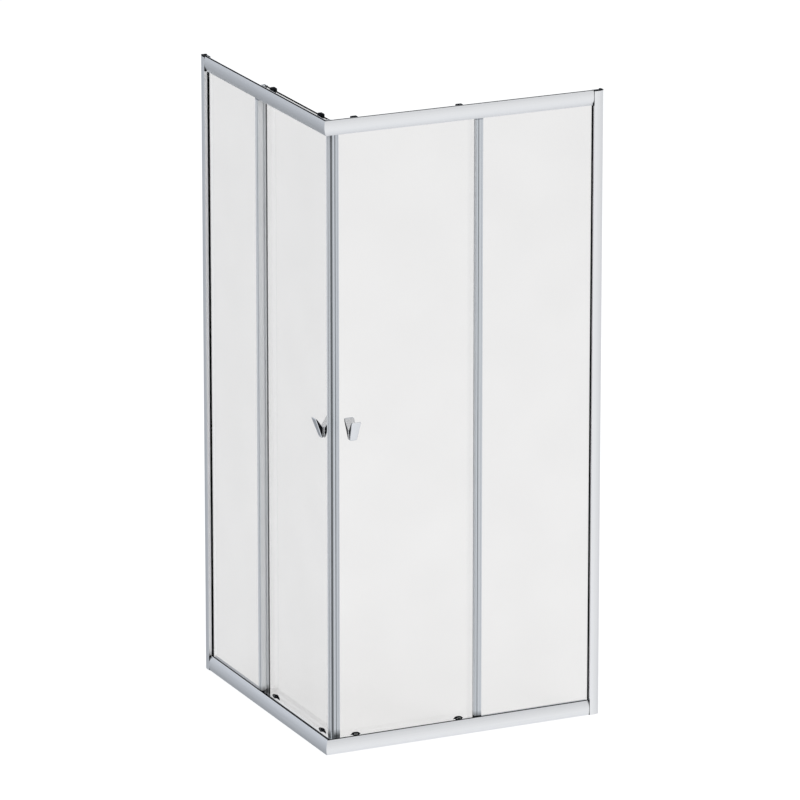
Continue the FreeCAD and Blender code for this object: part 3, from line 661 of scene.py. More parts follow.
def dress(node: str, *finishes: Finish) -> bpy.types.Object:
    """Gives a node of the frame its finishes.

    Args:
        node: Full name of the node.
        *finishes: Its finishes; all its faces have the first one until they are numbered.

    Returns:
        The node's object.
    """
    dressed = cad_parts[node]
    dressed.data.materials.clear()
    for finish in finishes:
        dressed.data.materials.append(finish.material())
    log.info("dressed %s in %s", node, ", ".join(finish.name for finish in finishes))
    return dressed


def add_object(name: str, data: bpy.types.ID) -> bpy.types.Object:
    """Adds an object to the scene.

    Args:
        name: Its name.
        data: Its mesh, lamp or camera.

    Returns:
        The new object.
    """
    made = bpy.data.objects.new(name, data)
    bpy.context.scene.collection.objects.link(made)
    return made


def piece(
    node: str, how: str, surfaces: Sequence[Surface], finishes: Sequence[Finish], body: str
) -> None:
    """Makes one object from its surfaces, in place of its node.

    Args:
        node: The node that it stands for.
        how: How it is made, which ends its name.
        surfaces: Its surfaces.
        finishes: Its finishes.
        body: The body that it moves with.
    """
    name = f"{node}_{how}"
    mesh = bpy.data.meshes.new(name)
    points = [surface.points.reshape(-1, 3) for surface in surfaces]
    starts = np.cumsum([0] + [len(rows) for rows in points])
    faces = [[corner + int(start) for corner in face]
             for surface, start in zip(surfaces, starts) for face in surface.faces()]
    mesh.from_pydata(np.concatenate(points).tolist(), [], faces)
    number_finishes(mesh, np.concatenate([surface.finish_numbers() for surface in surfaces]))
    work = bmesh.new()
    work.from_mesh(mesh)
    bmesh.ops.remove_doubles(work, verts=work.verts, dist=WELD)
    bmesh.ops.dissolve_degenerate(work, edges=work.edges, dist=WELD)
    bmesh.ops.recalc_face_normals(work, faces=work.faces)
    work.to_mesh(mesh)
    work.free()
    mesh.polygons.foreach_set("use_smooth", np.ones(len(mesh.polygons), bool))
    mesh.set_sharp_from_angle(angle=CREASE)
    for finish in finishes:
        mesh.materials.append(finish.material())
    made = add_object(name, mesh)
    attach(made, body)
    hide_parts(node)
    log.info("built %s for %s: %d faces", name, node, len(mesh.polygons))


# Sub-assemblies


@dataclass
class FixedFrame:
    """Rails and wall profiles of one face, with the plastic caps of its uprights."""

    face: Face
    edge: float = 0.5 * MM  # faces within this of a rail's top are its uppermost edges
    lip_depth: float = 6 * MM  # the track lip lies higher than this below the rail's top
    pocket_middle: float = 7 * MM  # middle of the top rail's open pocket, inwards from the outer plane
    level: float = 0.9  # a face is level if its normal points up by more than this

    def build(self) -> None:
        """Dresses the extrusions and the caps."""
        self.bottom_rail()
        self.top_rail()
        dress(self.face.node("wall_channel"), WALL_SHADED_ALUMINIUM)
        dress(self.face.node("jamb"), UPRIGHT_ALUMINIUM)
        dress(self.face.node("wall_cap"), BLACK_ABS)
        self.edge_caps()

    def bottom_rail(self) -> None:
        """Dresses the bottom rail: its nose is black, a painted shadow line, and its track lip is polished.

        Glass and metal don't mirror it.
        """
        finishes = RAIL_ALUMINIUM[self.face], GLAZING_EPDM, TRACK_ALUMINIUM
        rail = dress(self.face.node("bottom_rail"), *finishes)
        rail.visible_glossy = False
        depth = RAIL_TOP - of_polygons(rail.data, "center")[:, 2]
        upward = of_polygons(rail.data, "normal")[:, 2] > self.level
        # the nose's top is painted black as a painted shadow line under the glass
        nose = upward & (depth < self.edge)
        lip = upward & (depth > self.edge) & (depth < self.lip_depth)
        number_finishes(rail.data, nose + 2 * lip)

    def top_rail(self) -> None:
        """Dresses the top rail: the free edge of its open pocket is painted black, as the pocket's painted
        shade.
        """
        rail = dress(self.face.node("top_rail"), RAIL_ALUMINIUM[self.face], GLAZING_EPDM).data
        # the black on the pocket's free edge is painted shade
        middles = of_polygons(rail, "center") - OUTER_CORNER
        at_top = middles[:, 2] > cad_box[1].z - self.edge
        at_front = middles @ np.array(self.face.through.value) < self.pocket_middle
        number_finishes(rail, at_top & at_front)

    def edge_caps(self) -> None:
        """Dresses the end pieces of the edge strip: black at its foot, grey as the strip at its head."""
        caps = dress(self.face.node("edge_caps"), BLACK_ABS, GREY_ABS).data
        number_finishes(caps, of_polygons(caps, "center")[:, 2] > cad_box[1].z / 2)


@dataclass
class Glazing:
    """The two panes of one face, their gaskets and their seals."""

    face: Face
    edge_on: float = 0.5  # a face is an edge if its normal points through the glass by less than this

    def build(self) -> None:
        """Dresses the panes, which cast no shadow of their own, and what seals them."""
        for name in ("fixed_glass", "door_glass"):
            self.pane(name)
        for name in ("rail_gaskets", "jamb_gasket", "door_stops"):
            dress(self.face.node(name), GLAZING_EPDM)
        dress(self.face.node("edge_seal"), LIP_PVC)
        dress(self.face.node("magnetic_seal"), MAGNET_PVC[self.face])

    def pane(self, name: str) -> None:
        """Dresses a pane: clear on the faces that look through it, painted dark on its ground edges.

        Args:
            name: The pane's name without the face.
        """
        pane = dress(self.face.node(name), PANE_GLASS, GLASS_EDGE)
        pane.visible_shadow = False
        facing = np.abs(of_polygons(pane.data, "normal") @ np.array(self.face.through.value))
        number_finishes(pane.data, facing < self.edge_on)


@dataclass
class Uprights:
    """Fluted uprights of one face: the fixed panel's edge strip and the two profiles of the door."""

    face: Face
    pitch: float = 7 * MM  # about the width of a flute; a front has a whole number of them
    depth: float = 1.2 * MM
    steps: int = 16  # points on each flute
    line: float = 2 * MM  # width of the line along a front
    strip_line: float = 6.5 * MM  # from the strip's free edge to its line
    strip_line_depth: float = 2 * MM
    strip_crown: float = 0.8 * MM
    strip_seal: tuple[float, float] = (6 * MM, 10 * MM)  # seat of the seal, from the free edge
    seal_depth: float = 1.5 * MM
    profile_line: float = 7 * MM  # from the nose of the leading profile to its line
    profile_line_depth: float = 1.6 * MM
    tongue: float = 2.4 * MM  # slot for the magnetic seal's tongue
    tongue_depth: float = 2 * MM

    def build(self) -> None:
        """Extrudes the three uprights."""
        self.extrude("edge_strip", self.strip_outline(), "frame")
        self.extrude("leading_profile", self.leading_outline(), self.face.door)
        # The fifth side from the end of the outline is where the glass is wedged in from the inside
        self.extrude("trailing_profile", self.trailing_outline(), self.face.door, (-5,))

    def extrude(self, name: str, outline: Array, body: str, black: tuple[int, ...] = ()) -> None:
        """Carries an outline of places along and inwards straight up, from its node's foot to its head.

        Args:
            name: The upright's name without the face.
            outline: Points of the outline.
            body: The body that the upright moves with.
            black: Sides of the outline that are black.
        """
        levels = np.array(self.face.extent(name).up)[:, None]
        points = self.face.place(outline[None, :, 0], outline[None, :, 1], levels)
        upright = Surface(points, capped=True, other_columns=black)
        finishes = [ETCHED_ALUMINIUM[self.face], GLAZING_EPDM]
        piece(self.face.node(name), "extruded", [upright], finishes, body)

    def fluted(self, start: float, end: float, front: float, inwards: int, crown: float = 0.0) -> Array:
        """Points along a fluted front.

        The front falls back from its middle as the crown times the square of the place from minus one to
        one. Each flute goes in by its depth times one half less half the cosine of a full turn.

        Args:
            start: Where the front starts along the face.
            end: Where it ends.
            front: Its foremost plane.
            inwards: One if the flutes go inwards from it, minus one if they go outwards.
            crown: Height of its bulge.

        Returns:
            Places along the face and inwards.
        """
        count = max(1, round(abs(end - start) / self.pitch))
        share = np.linspace(0, 1, count * self.steps + 1)
        flute = self.depth * (0.5 - 0.5 * np.cos(TURN * count * share))
        bulge = crown * (2 * share - 1) ** 2
        return np.stack([start + (end - start) * share, front + inwards * (flute + bulge)], axis=-1)

    def strip_outline(self) -> Array:
        """Outline of the edge strip: two fluted fronts with a line between them, and slots at its back.

        Returns:
            The outline's points.
        """
        strip = self.face.extent("edge_strip")
        pane = self.face.extent("fixed_glass")
        near, far = strip.along
        front, back = strip.inwards
        flat = front + self.strip_crown
        line_start = near + self.strip_line
        line_end = line_start + self.line
        floor = flat + self.strip_line_depth
        seal_start, seal_end = (near + inset for inset in self.strip_seal)
        slots = [
            (far, pane.inwards[0]), (pane.along[0], pane.inwards[0]), (pane.along[0], pane.inwards[1]),
            (far, pane.inwards[1]), (far, back), (seal_end, back), (seal_end, back - self.seal_depth),
            (seal_start, back - self.seal_depth), (seal_start, back), (near, back),
        ]
        return np.concatenate([
            self.fluted(near, line_start, flat, 1),
            [(line_start, floor), (line_end, floor)],
            self.fluted(line_end, far, front, 1, self.strip_crown),
            slots,
        ])

    def leading_outline(self) -> Array:
        """Outline of the leading profile: a nose at 45 degrees with its slot, and fluted fronts.

        Returns:
            The outline's points.
        """
        profile = self.face.extent("leading_profile")
        pane = self.face.extent("door_glass")
        outer, inner = profile.inwards
        shift = profile.along[0] - outer
        end = profile.along[1]
        middle = (outer + inner) / 2
        # The slot lies at 45 degrees: half its width and its depth are each divided by the root of two
        half = self.tongue / math.sqrt(8)
        deep = self.tongue_depth / math.sqrt(2)
        slot = np.array([
            (middle + half, middle + half), (middle + half + deep, middle + half - deep),
            (middle - half + deep, middle - half - deep), (middle - half, middle - half),
        ])
        line_start = profile.along[0] + self.profile_line
        line_end = line_start + self.line
        floor = outer + self.profile_line_depth
        return np.concatenate([
            slot + (shift, 0),
            self.fluted(profile.along[0], line_start, outer, 1),
            [(line_start, floor), (line_end, floor)],
            self.fluted(line_end, end, outer, 1),
            [(end, pane.inwards[0]), (pane.along[0], pane.inwards[0])],
            [(pane.along[0], pane.inwards[1]), (end, pane.inwards[1])],
            self.fluted(end, inner + shift, inner, -1),
        ])

    def trailing_outline(self) -> Array:
        """Outline of the trailing profile: a channel round the edge of the glass with fluted fronts.

        Returns:
            The outline's points.
        """
        profile = self.face.extent("trailing_profile")
        pane = self.face.extent("door_glass")
        near, far = profile.along
        outer, inner = profile.inwards
        return np.concatenate([
            self.fluted(near, far, outer, 1),
            self.fluted(far, near, inner, -1),
            [(near, pane.inwards[1]), (pane.along[1], pane.inwards[1])],
            [(pane.along[1], pane.inwards[0]), (near, pane.inwards[0])],
        ])


@dataclass
class HandlePair:
    """Two chrome wedges on one door, one on each side of the glass, and the stud between them."""

    face: Face
    seat: float = 31 * MM  # height that lies on the glass
    lip: float = 6 * MM  # thickness at the top
    toe: float = 5 * MM  # thickness at the lower end
    toe_share: float = 23 / 31  # width at the lower end as a share of the width at the top
    edge: float = 2.2 * MM
    edge_limit: float = 0.8  # the most that an edge takes of half the thickness
    front_corner: float = 5 * MM  # rounding of the front's outline
    levels: int = 40
    corner_steps: int = 7

    def build(self) -> None:
        """Casts both wedges and dresses the stud."""
        # The second and the fourth straight cell round a section are the wedge's dark sides
        sides = (2 * self.corner_steps - 1, 4 * self.corner_steps - 1)
        finishes = [HANDLE_CHROME, BLACK_ABS]
        for side in ("outer", "inner"):
            name = f"handle_{side}"
            points = self.wedge(self.face.extent(name), side == "outer")
            wedge = Surface(points, capped=True, other_columns=sides)
            piece(self.face.node(name), "cast", [wedge], finishes, self.face.door)
        dress(self.face.node("handle_screw"), SCREW_STEEL)

    def wedge(self, extent: Extent, outer: bool) -> Array:
        """Stacks rounded rectangles into a wedge.

        The front leans from the toe's thickness to the full reach, the back lies on the glass up to the
        seat and then leans after the front until the lip is left. The sections draw in at both ends.

        Args:
            extent: The wedge's box.
            outer: Whether the wedge is on the outer side of the glass.

        Returns:
            A grid of points, height by place round the section.
        """
        foot, top = extent.up
        reach = extent.inwards[1] - extent.inwards[0]
        width = extent.along[1] - extent.along[0]
        up = end_stations(foot, top, self.front_corner, self.levels)
        share = (up - foot) / (top - foot)
        lean = np.clip((up - foot - self.seat) / (top - foot - self.seat), 0, 1)
        front = self.toe + (reach - self.toe) * share
        back = (reach - self.lip) * lean
        ends = up - foot, top - up
        edge_inset = end_inset(*ends, self.edge)
        half_width = width / 2 * (self.toe_share + (1 - self.toe_share) * share)
        half_width = half_width - end_inset(*ends, self.front_corner)
        half_thick = (front - back) / 2 - edge_inset
        across, deep = self.rounded_sections(half_width, half_thick)
        middle = (extent.along[0] + extent.along[1]) / 2
        depth = ((front + back) / 2)[:, None] + deep
        inwards = extent.inwards[1] - depth if outer else extent.inwards[0] + depth
        return self.face.place(middle + across, inwards, up[:, None])

    def rounded_sections(self, half_width: Array, half_thick: Array) -> tuple[Array, Array]:
        """Rounded rectangles, one for each height.

        A point is the centre of its corner's rounding plus the rounding's radius times the cosine and
        the sine of its angle.

        Args:
            half_width: Half the width of each rectangle.
            half_thick: Half the thickness of each rectangle.

        Returns:
            Places across and through the wedge, height by place round the section.
        """
        quarter = np.linspace(0, math.pi / 2, self.corner_steps)
        starts = np.arange(4) * math.pi / 2
        angles = (starts[:, None] + quarter[None]).ravel()[None]
        middles = np.repeat(starts + math.pi / 4, self.corner_steps)[None]
        radius = np.minimum(self.edge, self.edge_limit * half_thick)[:, None]
        across = (half_width[:, None] - radius) * np.sign(np.cos(middles)) + radius * np.cos(angles)
        deep = (half_thick[:, None] - radius) * np.sign(np.sin(middles)) + radius * np.sin(angles)
        return across, deep


@dataclass
class RollerGear:
    """Wheels, bolts, top bodies, bottom pads and bottom knobs of one door; round sizes are radii."""

    face: Face
    sides: int = 60
    bore: float = 3.05 * MM
    wheel_root: float = 8 * MM
    groove_root: float = 1.1 * MM  # half the width of the bottom of the groove
    web: float = 1.2 * MM  # thickness between the groove and the recesses
    soft: float = 0.3 * MM  # rounding and slope of the wheel's edges
    rim_flat: float = 0.5 * MM
    hub: float = 4.8 * MM
    recess: float = 1.2 * MM
    spokes: int = 5
    spoke_share: float = 0.3  # share of the round that the spokes take
    spoke_slope: float = 3.0  # steepness of their sides
    bolt_head: float = 4.6 * MM
    bolt_head_thick: float = 1.3 * MM
    bolt_shank: float = 3 * MM
    bolt_edge: float = 0.4 * MM
    socket: float = 2 * MM  # half the width of the hexagon socket
    body_width: float = 18 * MM
    body_slope: float = 2.5 * MM
    body_edge: float = 0.8 * MM
    body_steps: int = 3  # points on each rounding
    body_stations: int = 48
    ridge_pitch: float = 3 * MM
    ridge: float = 0.5 * MM
    pad_rim: float = 3.2 * MM  # width of the pad's rim and of the pale ring inside it
    pad_ring: float = 1.8 * MM
    pad_groove: float = 1 * MM
    pad_edge: float = 0.6 * MM
    pad_steps: int = 5
    knob_rim: float = 16 * MM  # wider than the clamping nut of the solids
    knob_sides: int = 360
    knob_back: float = 1.5 * MM  # in from the rim to a ring on the flat back
    knob_edge: float = 0.3 * MM  # edge of the back
    knob_collar: float = 1.6 * MM  # plain part of the rim behind the scallops
    knob_runout: float = 0.4 * MM  # length over which the scallops start
    # Shoulder of the front: in from the rim, back from the front, and how much of the scallops shows
    knob_shoulder: tuple[Triple, ...] = (
        (0, 2.2 * MM, 1), (0.6 * MM, 0.9 * MM, 1), (1.8 * MM, 0.2 * MM, 0.8)
    )
    knob_ring: tuple[float, float] = (3 * MM, 4.6 * MM)  # flat ring of the front, in from the rim
    dish_wall: float = 1 * MM  # width of the slope into the dish
    dish_depth: tuple[float, float] = (1.4 * MM, 1.8 * MM)  # at the slope and at the hub
    dish_hub: float = 2 * MM
    hub_wall: float = 0.4 * MM
    hub_depth: float = 0.8 * MM
    notches: int = 8
    notch: float = 1.9 * MM
    notch_share: float = 0.5  # depth of a scallop as a share of its radius

    def build(self) -> None:
        """Builds every roller of the door."""
        for level in WHEEL_LEVELS:
            for end in WHEEL_ENDS:
                self.wheel(f"{level}_{end}_wheel")
        self.bolts()
        self.top_bodies()
        self.pads()
        self.knobs()

    def centre(self, wheel: str) -> Spot:
        """Place of a wheel's axis."""
        extent = self.face.extent(wheel)
        return sum(extent.along) / 2, sum(extent.up) / 2

    def centres(self, *levels: str) -> list[Spot]:
        """Places of the wheels' axes on these levels."""
        return [self.centre(f"{level}_{end}_wheel") for level in levels for end in WHEEL_ENDS]

    def spoke_pulses(self) -> Array:
        """Smooth pulses once round: one on each spoke, and zero between them."""
        # A half, plus the slope times what a cosine with a turn for each spoke has above a spoke's side
        wave = np.cos(self.spokes * round_angles(self.sides)) - math.cos(math.pi * self.spoke_share)
        return np.clip(0.5 + self.spoke_slope * wave, 0, 1)

    def wheel(self, name: str) -> None:
        """Moulds one grooved wheel with a recess on each side that its spokes bridge.

        The outline is a closed loop of radius and depth. On a spoke the recess is filled again: its depth
        changes by the spoke's pulse times what the recess takes away.

        Args:
            name: The wheel's name without the face.
        """
        extent = self.face.extent(name)
        near, far = extent.inwards
        rim = (extent.up[1] - extent.up[0]) / 2
        middle = (near + far) / 2
        web = self.wheel_root - self.web
        floor = near + self.recess
        half = np.array([
            (self.bore, near), (self.hub, near), (self.hub + self.soft, floor), (web - self.soft, floor),
            (web, near), (rim - self.soft, near), (rim, near + self.soft), (rim, near + self.rim_flat),
            (self.wheel_root, middle - self.groove_root),
        ])
        other = np.stack([half[::-1, 0], 2 * middle - half[::-1, 1]], axis=-1)
        cut = rounded_loop(np.concatenate([half, other]), self.soft)
        filled = np.where(cut[:, 0] < web, np.where(cut[:, 1] < middle, near, far), cut[:, 1])
        inwards = cut[:, 1:] + self.spoke_pulses() * (filled - cut[:, 1])[:, None]
        points = turned(self.face, self.centre(name), cut[:, :1], inwards, self.sides)
        node = self.face.node(name)
        piece(node, "moulded", [Surface(points, round_rows=True)], [WHITE_ACETAL], node)

    def bolts(self) -> None:
        """Turns the four bolts; each head has a hexagon socket.

        A socket's radius is half its width over the cosine of the angle from the middle of its nearest
        side.
        """
        near, far = self.face.extent("roller_bolts").inwards
        shank, head, edge = self.bolt_shank, self.bolt_head, self.bolt_edge
        seat = near + self.bolt_head_thick
        profile = np.array([
            (0, far), (shank - edge, far), (shank, far - edge), (shank, seat),
            (head, seat), (head, near + edge), (head - edge, near),
        ])
        side = TURN / 6
        hexagon = self.socket / np.cos(np.mod(round_angles(self.sides), side) - side / 2)
        outside = np.repeat(profile[:, :1], self.sides, axis=1)
        radius = np.concatenate([outside, hexagon, hexagon, 0 * hexagon])
        depth = np.concatenate([profile[:, 1], [near, seat - edge, seat - edge]])
        bolts = [
            Surface(turned(self.face, centre, radius, depth[:, None], self.sides))
            for centre in self.centres(*WHEEL_LEVELS)
        ]
        piece(self.face.node("roller_bolts"), "turned", bolts, [SCREW_STEEL], self.face.door)

    def top_bodies(self) -> None:
        """Moulds the two bodies that straddle the top edge of the glass, with ridges across their tops.

        A rounded outline of depth and height is carried along the face. Its ends draw in, and its top
        rises and falls with the cosine of the distance along it.
        """
        extent = self.face.extent("top_roller_bodies")
        near, far = extent.inwards
        low, high = extent.up
        pane = self.face.extent("door_glass")
        slope, edge = self.body_slope, self.body_edge
        corners = np.array([
            (near, low), (near, high - slope), (near + slope, high), (far - slope, high),
            (far, high - slope), (far, low + slope), (far - slope, low), (pane.inwards[1], low),
            (pane.inwards[1], pane.up[1]), (pane.inwards[0], pane.up[1]), (pane.inwards[0], low),
        ])
        loop = rounded_loop(corners, edge, self.body_steps)
        on_top = np.clip((loop[:, 1] - high + slope) / slope, 0, 1)
        bodies = []
        for start in (extent.along[0], extent.along[1] - self.body_width):
            end = start + self.body_width
            along = end_stations(start, end, edge, self.body_stations, self.body_steps)
            rows = drawn_in(loop, end_inset(along - start, end - along, edge))
            wave = 0.5 - 0.5 * np.cos(TURN * (along - start - edge) / self.ridge_pitch)
            up = rows[..., 1] - self.ridge * wave[:, None] * on_top[None]
            bodies.append(Surface(self.face.place(along[:, None], rows[..., 0], up), capped=True))
        node = self.face.node("top_roller_bodies")
        piece(node, "moulded", bodies, [BLACK_ABS], self.face.door)

    def pads(self) -> None:
        """Moulds the two discs between the bottom wheels and the glass: a rim, a pale ring and a hub.

        The outline is a closed loop of radius and depth, and the ring is the floor of a shallow groove.
        """
        extent = self.face.extent("bottom_roller_pads")
        near, far = extent.inwards
        rim = (extent.up[1] - extent.up[0]) / 2
        outer, inner = rim - self.pad_rim, rim - self.pad_rim - self.pad_ring
        floor = near + self.pad_groove
        corners = np.array([
            (self.bore, near), (inner, near), (inner, floor), (outer, floor), (outer, near),
            (rim, near), (rim, far), (self.bore, far),
        ])
        loop = rounded_loop(corners, self.pad_edge, self.pad_steps)
        # The straight cell after the third corner is the floor of the groove
        ring = (3 * self.pad_steps - 1,)
        grids = [
            turned(self.face, centre, loop[:, :1], loop[:, 1:], self.sides)
            for centre in self.centres("bottom")
        ]
        pads = [Surface(grid.swapaxes(0, 1), round_rows=True, other_columns=ring) for grid in grids]
        node = self.face.node("bottom_roller_pads")
        piece(node, "moulded", pads, [BLACK_ABS, WHITE_ACETAL], self.face.door)

    def knobs(self) -> None:
        """Moulds the two round nuts with scalloped rims and a dished face.

        Near a scallop the rim draws in by half the root of the scallop's radius squared less the square
        of the distance round the rim from its middle.
        """
        near, far = self.face.extent("bottom_roller_knobs").inwards
        rim = self.knob_rim
        collar = near + self.knob_collar
        ring_start, ring_end = (rim - inset for inset in self.knob_ring)
        dish_start, dish_end = (far - depth for depth in self.dish_depth)
        hub, hub_top = self.dish_hub, far - self.hub_depth
        # Radius, depth, and how much of the scallops each ring shows: back, rim, front, dish and hub
        profile = np.array([
            (0, near, 0), (rim - self.knob_back, near, 0), (rim - self.knob_edge, near, 0),
            (rim, near + self.knob_edge, 0), (rim, collar, 0), (rim, collar + self.knob_runout, 1),
            *((rim - inset, far - back, share) for inset, back, share in self.knob_shoulder),
            (ring_start, far, 0), (ring_end, far, 0), (ring_end - self.dish_wall, dish_start, 0),
            (hub + self.hub_wall, dish_end, 0), (hub, hub_top, 0), (0, hub_top, 0),
        ])
        gap = TURN / self.notches
        round_rim = rim * (np.mod(round_angles(self.knob_sides) + gap / 2, gap) - gap / 2)
        scallop = self.notch_share * np.sqrt(np.clip(self.notch ** 2 - round_rim ** 2, 0, None))
        radius = profile[:, :1] - profile[:, 2:] * scallop
        knobs = [
            Surface(turned(self.face, centre, radius, profile[:, 1:2], self.knob_sides))
            for centre in self.centres("bottom")
        ]
        node = self.face.node("bottom_roller_knobs")
        piece(node, "moulded", knobs, [BLACK_ABS], self.face.door)


@dataclass
class CornerAndScrews:
    """The pieces that both faces share: corner keys, corner plug and screws."""

    screw: float = 1.65 * MM  # radius of the shank
    shank_sides: int = 24
    head: float = 3.3 * MM  # radius of the head
    head_thick: float = 2 * MM
    grip: float = 5 * MM  # length of the shank
    wall_inset: float = 8 * MM  # from the wall to a screw's axis
    level_inset: float = 100 * MM  # from the floor to the lowest screw, and from the top to the highest
    cross: float = 0.55 * MM  # half the width of an arm of the cross recess
    arm: float = 1.9 * MM  # half the length of the cross
    cross_depth: float = 1.1 * MM
    cross_slope: float = 0.3 * MM  # width of the recess's sloping sides
    grid: int = 41  # points along each side of the head's grid

    def build(self) -> None:
        """Dresses what is hidden and builds the jamb screws."""
        for node in ("bottom_corner_key", "top_corner_key", "top_corner_plug"):
            dress(node, BLACK_ABS)
        for node in ("corner_screws", "rail_screws"):
            dress(node, SCREW_STEEL)
        top = cad_box[1].z
        surfaces = []
        for face in Face:
            seat = face.extent("jamb").inwards[1]
            wall = face.extent("wall_channel").along[1]
            for level in (self.level_inset, top / 2, top - self.level_inset):
                surfaces += self.pan_head(face, (wall - self.wall_inset, level), seat)
        piece("jamb_screws", "turned", surfaces, [SCREW_STEEL], "frame")

    def pan_head(self, face: Face, axis: Spot, seat: float) -> list[Surface]:
        """Makes one pan-head screw with a cross recess.

        A square grid is pressed into a disc: u times the root of one less half of v squared, and the
        same the other way round. The head's height is its thickness times the root of one less the
        fourth power of the radius, less the recess where a point lies inside an arm of the cross.

        Args:
            face: The face that the screw is on.
            axis: Place of the screw.
            seat: Depth of the surface that the head lies on.

        Returns:
            The head's top, its underside and the shank.
        """
        ticks = np.linspace(-1, 1, self.grid)
        u, v = np.meshgrid(ticks, ticks)
        across = self.head * u * np.sqrt(1 - v ** 2 / 2)
        up = self.head * v * np.sqrt(1 - u ** 2 / 2)
        share = np.clip(np.hypot(across, up) / self.head, 0, 1)
        pan = self.head_thick * np.sqrt(np.clip(1 - share ** 4, 0, 1))
        narrow = np.minimum(np.abs(across), np.abs(up))
        wide = np.maximum(np.abs(across), np.abs(up))
        in_width = np.clip((self.cross - narrow) / self.cross_slope, 0, 1)
        in_length = np.clip((self.arm - wide) / self.cross_slope, 0, 1)
        head, under = (
            Surface(face.place(axis[0] + across, seat + rise, axis[1] + up), round_columns=False)
            for rise in (pan - self.cross_depth * in_width * in_length, 0.0)
        )
        tip = seat - self.grip
        shank = np.array([(0, tip), (self.screw, tip), (self.screw, seat), (0, seat)])
        grid = turned(face, axis, shank[:, :1], shank[:, 1:], self.shank_sides)
        return [head, under, Surface(grid)]


# Studio


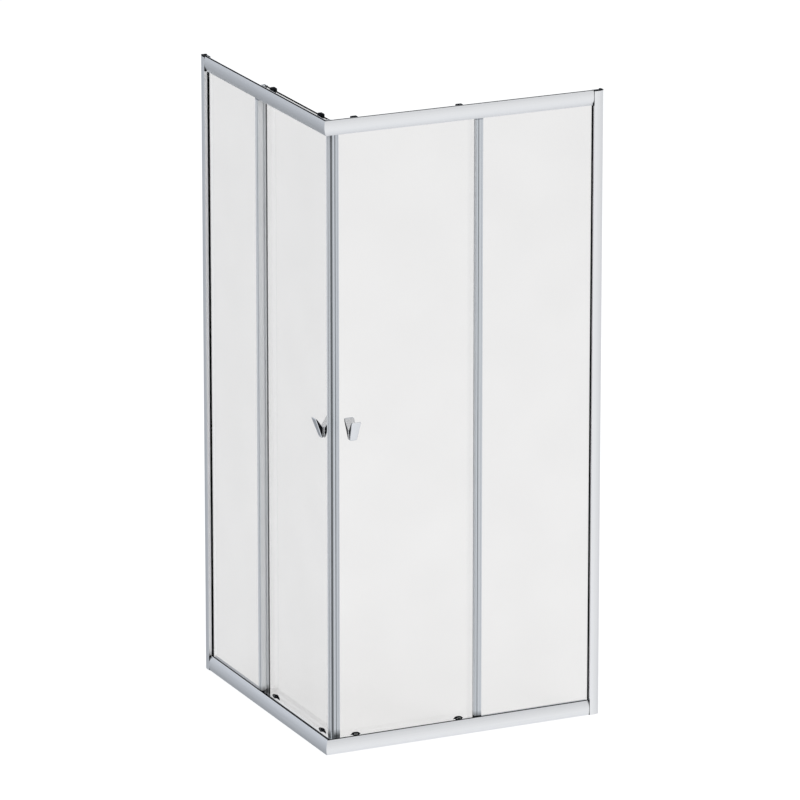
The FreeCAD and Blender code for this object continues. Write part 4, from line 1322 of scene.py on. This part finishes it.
@dataclass
class Studio:
    """Floor, soft light, white background and the camera of the photograph."""

    azimuth: float = -25.04  # camera's angles in degrees
    elevation: float = 16.55
    distance: float = 20.269
    aim_along: float = 0.236  # point that the camera looks at: along the right face, and its height
    aim_up: float = 1.049
    lens: float = 317.07  # millimetres on the 36 mm sensor
    floor_half: float = 30.0
    floor_tone: str = "#A8A8A8"
    floor_glow: float = 0.75  # light that lifts the floor to white where it is seen directly
    key_place: Triple = (2.5, -5.0, 5.0)
    key_size: float = 3.0
    key_power: float = 110.0
    studio_level: float = 0.776
    studio_slope: Triple = (-0.0715, -0.222, 0.107)
    studio_tilt: Triple = (-0.176, 0.38, 0.0)
    cool_side: Triple = (-0.21, 0.455, 0.0)  # way to the cooler side, half a unit long
    cool_middle: float = 0.5  # share of the cool tone half-way round
    plain_tone: str = "#F0F0F0"
    cool_tone: str = "#F0F5FC"
    white: str = "#FFFFFF"

    def build(self) -> None:
        """Sets up the whole studio."""
        bpy.context.scene.view_settings.view_transform = "Standard"
        self.camera()
        self.floor()
        self.key_light()
        self.world()

    def camera(self) -> None:
        """Places the camera at the photograph's angle and distance."""
        # Way back to the camera: the sine of the elevation upwards, its cosine shared out by the azimuth
        across, up = math.radians(self.azimuth), math.radians(self.elevation)
        back = Vector((math.sin(across) * math.cos(up), -math.cos(across) * math.cos(up), math.sin(up)))
        aim = Vector(Face.RIGHT.place(self.aim_along, 0.0, self.aim_up))
        lens = bpy.data.cameras.new("photo_camera")
        lens.lens = self.lens
        camera = add_object("photo_camera", lens)
        self.point(camera, aim + back * self.distance, aim)
        bpy.context.scene.camera = camera

    def point(self, thing: bpy.types.Object, place: Vector, aim: Vector) -> None:
        """Places a camera or a lamp and points it at its aim."""
        thing.location = place
        thing.rotation_euler = (aim - place).to_track_quat("-Z", "Y").to_euler()

    def seen_directly(self, tree: Tree) -> Socket:
        """Tells what the camera sees, straight or through glass.

        Args:
            tree: The node tree that asks.

        Returns:
            One for camera rays and for rays that come through glass, otherwise zero.
        """
        path = add_node(tree, "ShaderNodeLightPath").outputs
        rays = {0: path["Is Camera Ray"], 1: path["Is Transmission Ray"]}
        return add_node(tree, "ShaderNodeMath", rays, operation="MAXIMUM").outputs[0]

    def floor(self) -> None:
        """Lays a pale floor that the camera sees as white, with the object's faint shadow on it."""
        half = self.floor_half
        mesh = bpy.data.meshes.new("studio_floor")
        corners = [(-half, -half, 0), (half, -half, 0), (half, half, 0), (-half, half, 0)]
        mesh.from_pydata(corners, [], [(0, 1, 2, 3)])
        floor = add_object("studio_floor", mesh)
        floor.visible_glossy = False
        paint = bpy.data.materials.new("matt_white_floor")
        tree = empty_tree(paint)
        matt = add_node(tree, "ShaderNodeBsdfDiffuse", {"Color": linear(self.floor_tone)})
        white = add_node(tree, "ShaderNodeEmission", {"Strength": self.floor_glow})
        both = add_node(tree, "ShaderNodeAddShader", {0: matt.outputs[0], 1: white.outputs[0]})
        seen = self.seen_directly(tree)
        mixed = add_node(tree, "ShaderNodeMixShader", {0: seen, 1: matt.outputs[0], 2: both.outputs[0]})
        add_node(tree, "ShaderNodeOutputMaterial", {"Surface": mixed.outputs[0]})
        mesh.materials.append(paint)

    def key_light(self) -> None:
        """Hangs a large soft lamp in front, which neither metal nor glass shows as a spot."""
        lamp = bpy.data.lights.new("soft_key", "AREA")
        lamp.shape = "DISK"
        lamp.size = self.key_size
        lamp.energy = self.key_power
        key = add_object("soft_key", lamp)
        self.point(key, Vector(self.key_place), Vector((0.0, 0.0, self.aim_up)))
        key.visible_glossy = False
        key.visible_transmission = False

    def world(self) -> None:
        """Surrounds the object with a soft studio that is lightest in front and above the back.

        The camera and the glass see it white. Everything else sees the plain level, plus the dot product
        of the way to the studio with its side slope, plus that of the way with its tilt times the height
        of the way.
        """
        world = bpy.data.worlds.new("soft_studio")
        bpy.context.scene.world = world
        tree = empty_tree(world)
        way = add_node(tree, "ShaderNodeTexCoord").outputs["Generated"]
        rise = add_node(tree, "ShaderNodeSeparateXYZ", {0: way}).outputs["Z"]
        dots = [
            add_node(tree, "ShaderNodeVectorMath", {0: way, 1: sense}, operation="DOT_PRODUCT")
            for sense in (self.studio_slope, self.studio_tilt, self.cool_side)
        ]
        sloped, tilted, cooler = (dot.outputs["Value"] for dot in dots)
        both = {0: tilted, 1: rise, 2: sloped}
        change = add_node(tree, "ShaderNodeMath", both, operation="MULTIPLY_ADD").outputs[0]
        studio, cool = (
            add_node(tree, "ShaderNodeMath", {0: value, 1: level}, operation="ADD").outputs[0]
            for value, level in ((change, self.studio_level), (cooler, self.cool_middle))
        )
        seen = self.seen_directly(tree)
        levels = {"Value": seen, "To Min": studio, "To Max": 1.0}
        strength = add_node(tree, "ShaderNodeMapRange", levels).outputs["Result"]
        colour = layered(tree, self.plain_tone, [(cool, self.cool_tone), (seen, self.white)])
        light = add_node(tree, "ShaderNodeBackground", {"Color": colour, "Strength": strength})
        add_node(tree, "ShaderNodeOutputWorld", {"Surface": light.outputs[0]})


def main() -> None:
    """Builds the enclosure's looks in order, then the studio."""
    logging.basicConfig(level=logging.INFO, format="%(message)s")
    for face in Face:
        for assembly in (FixedFrame, Glazing, Uprights, HandlePair, RollerGear):
            assembly(face).build()
    CornerAndScrews().build()
    Studio().build()


if __name__ == "__main__":
    main()
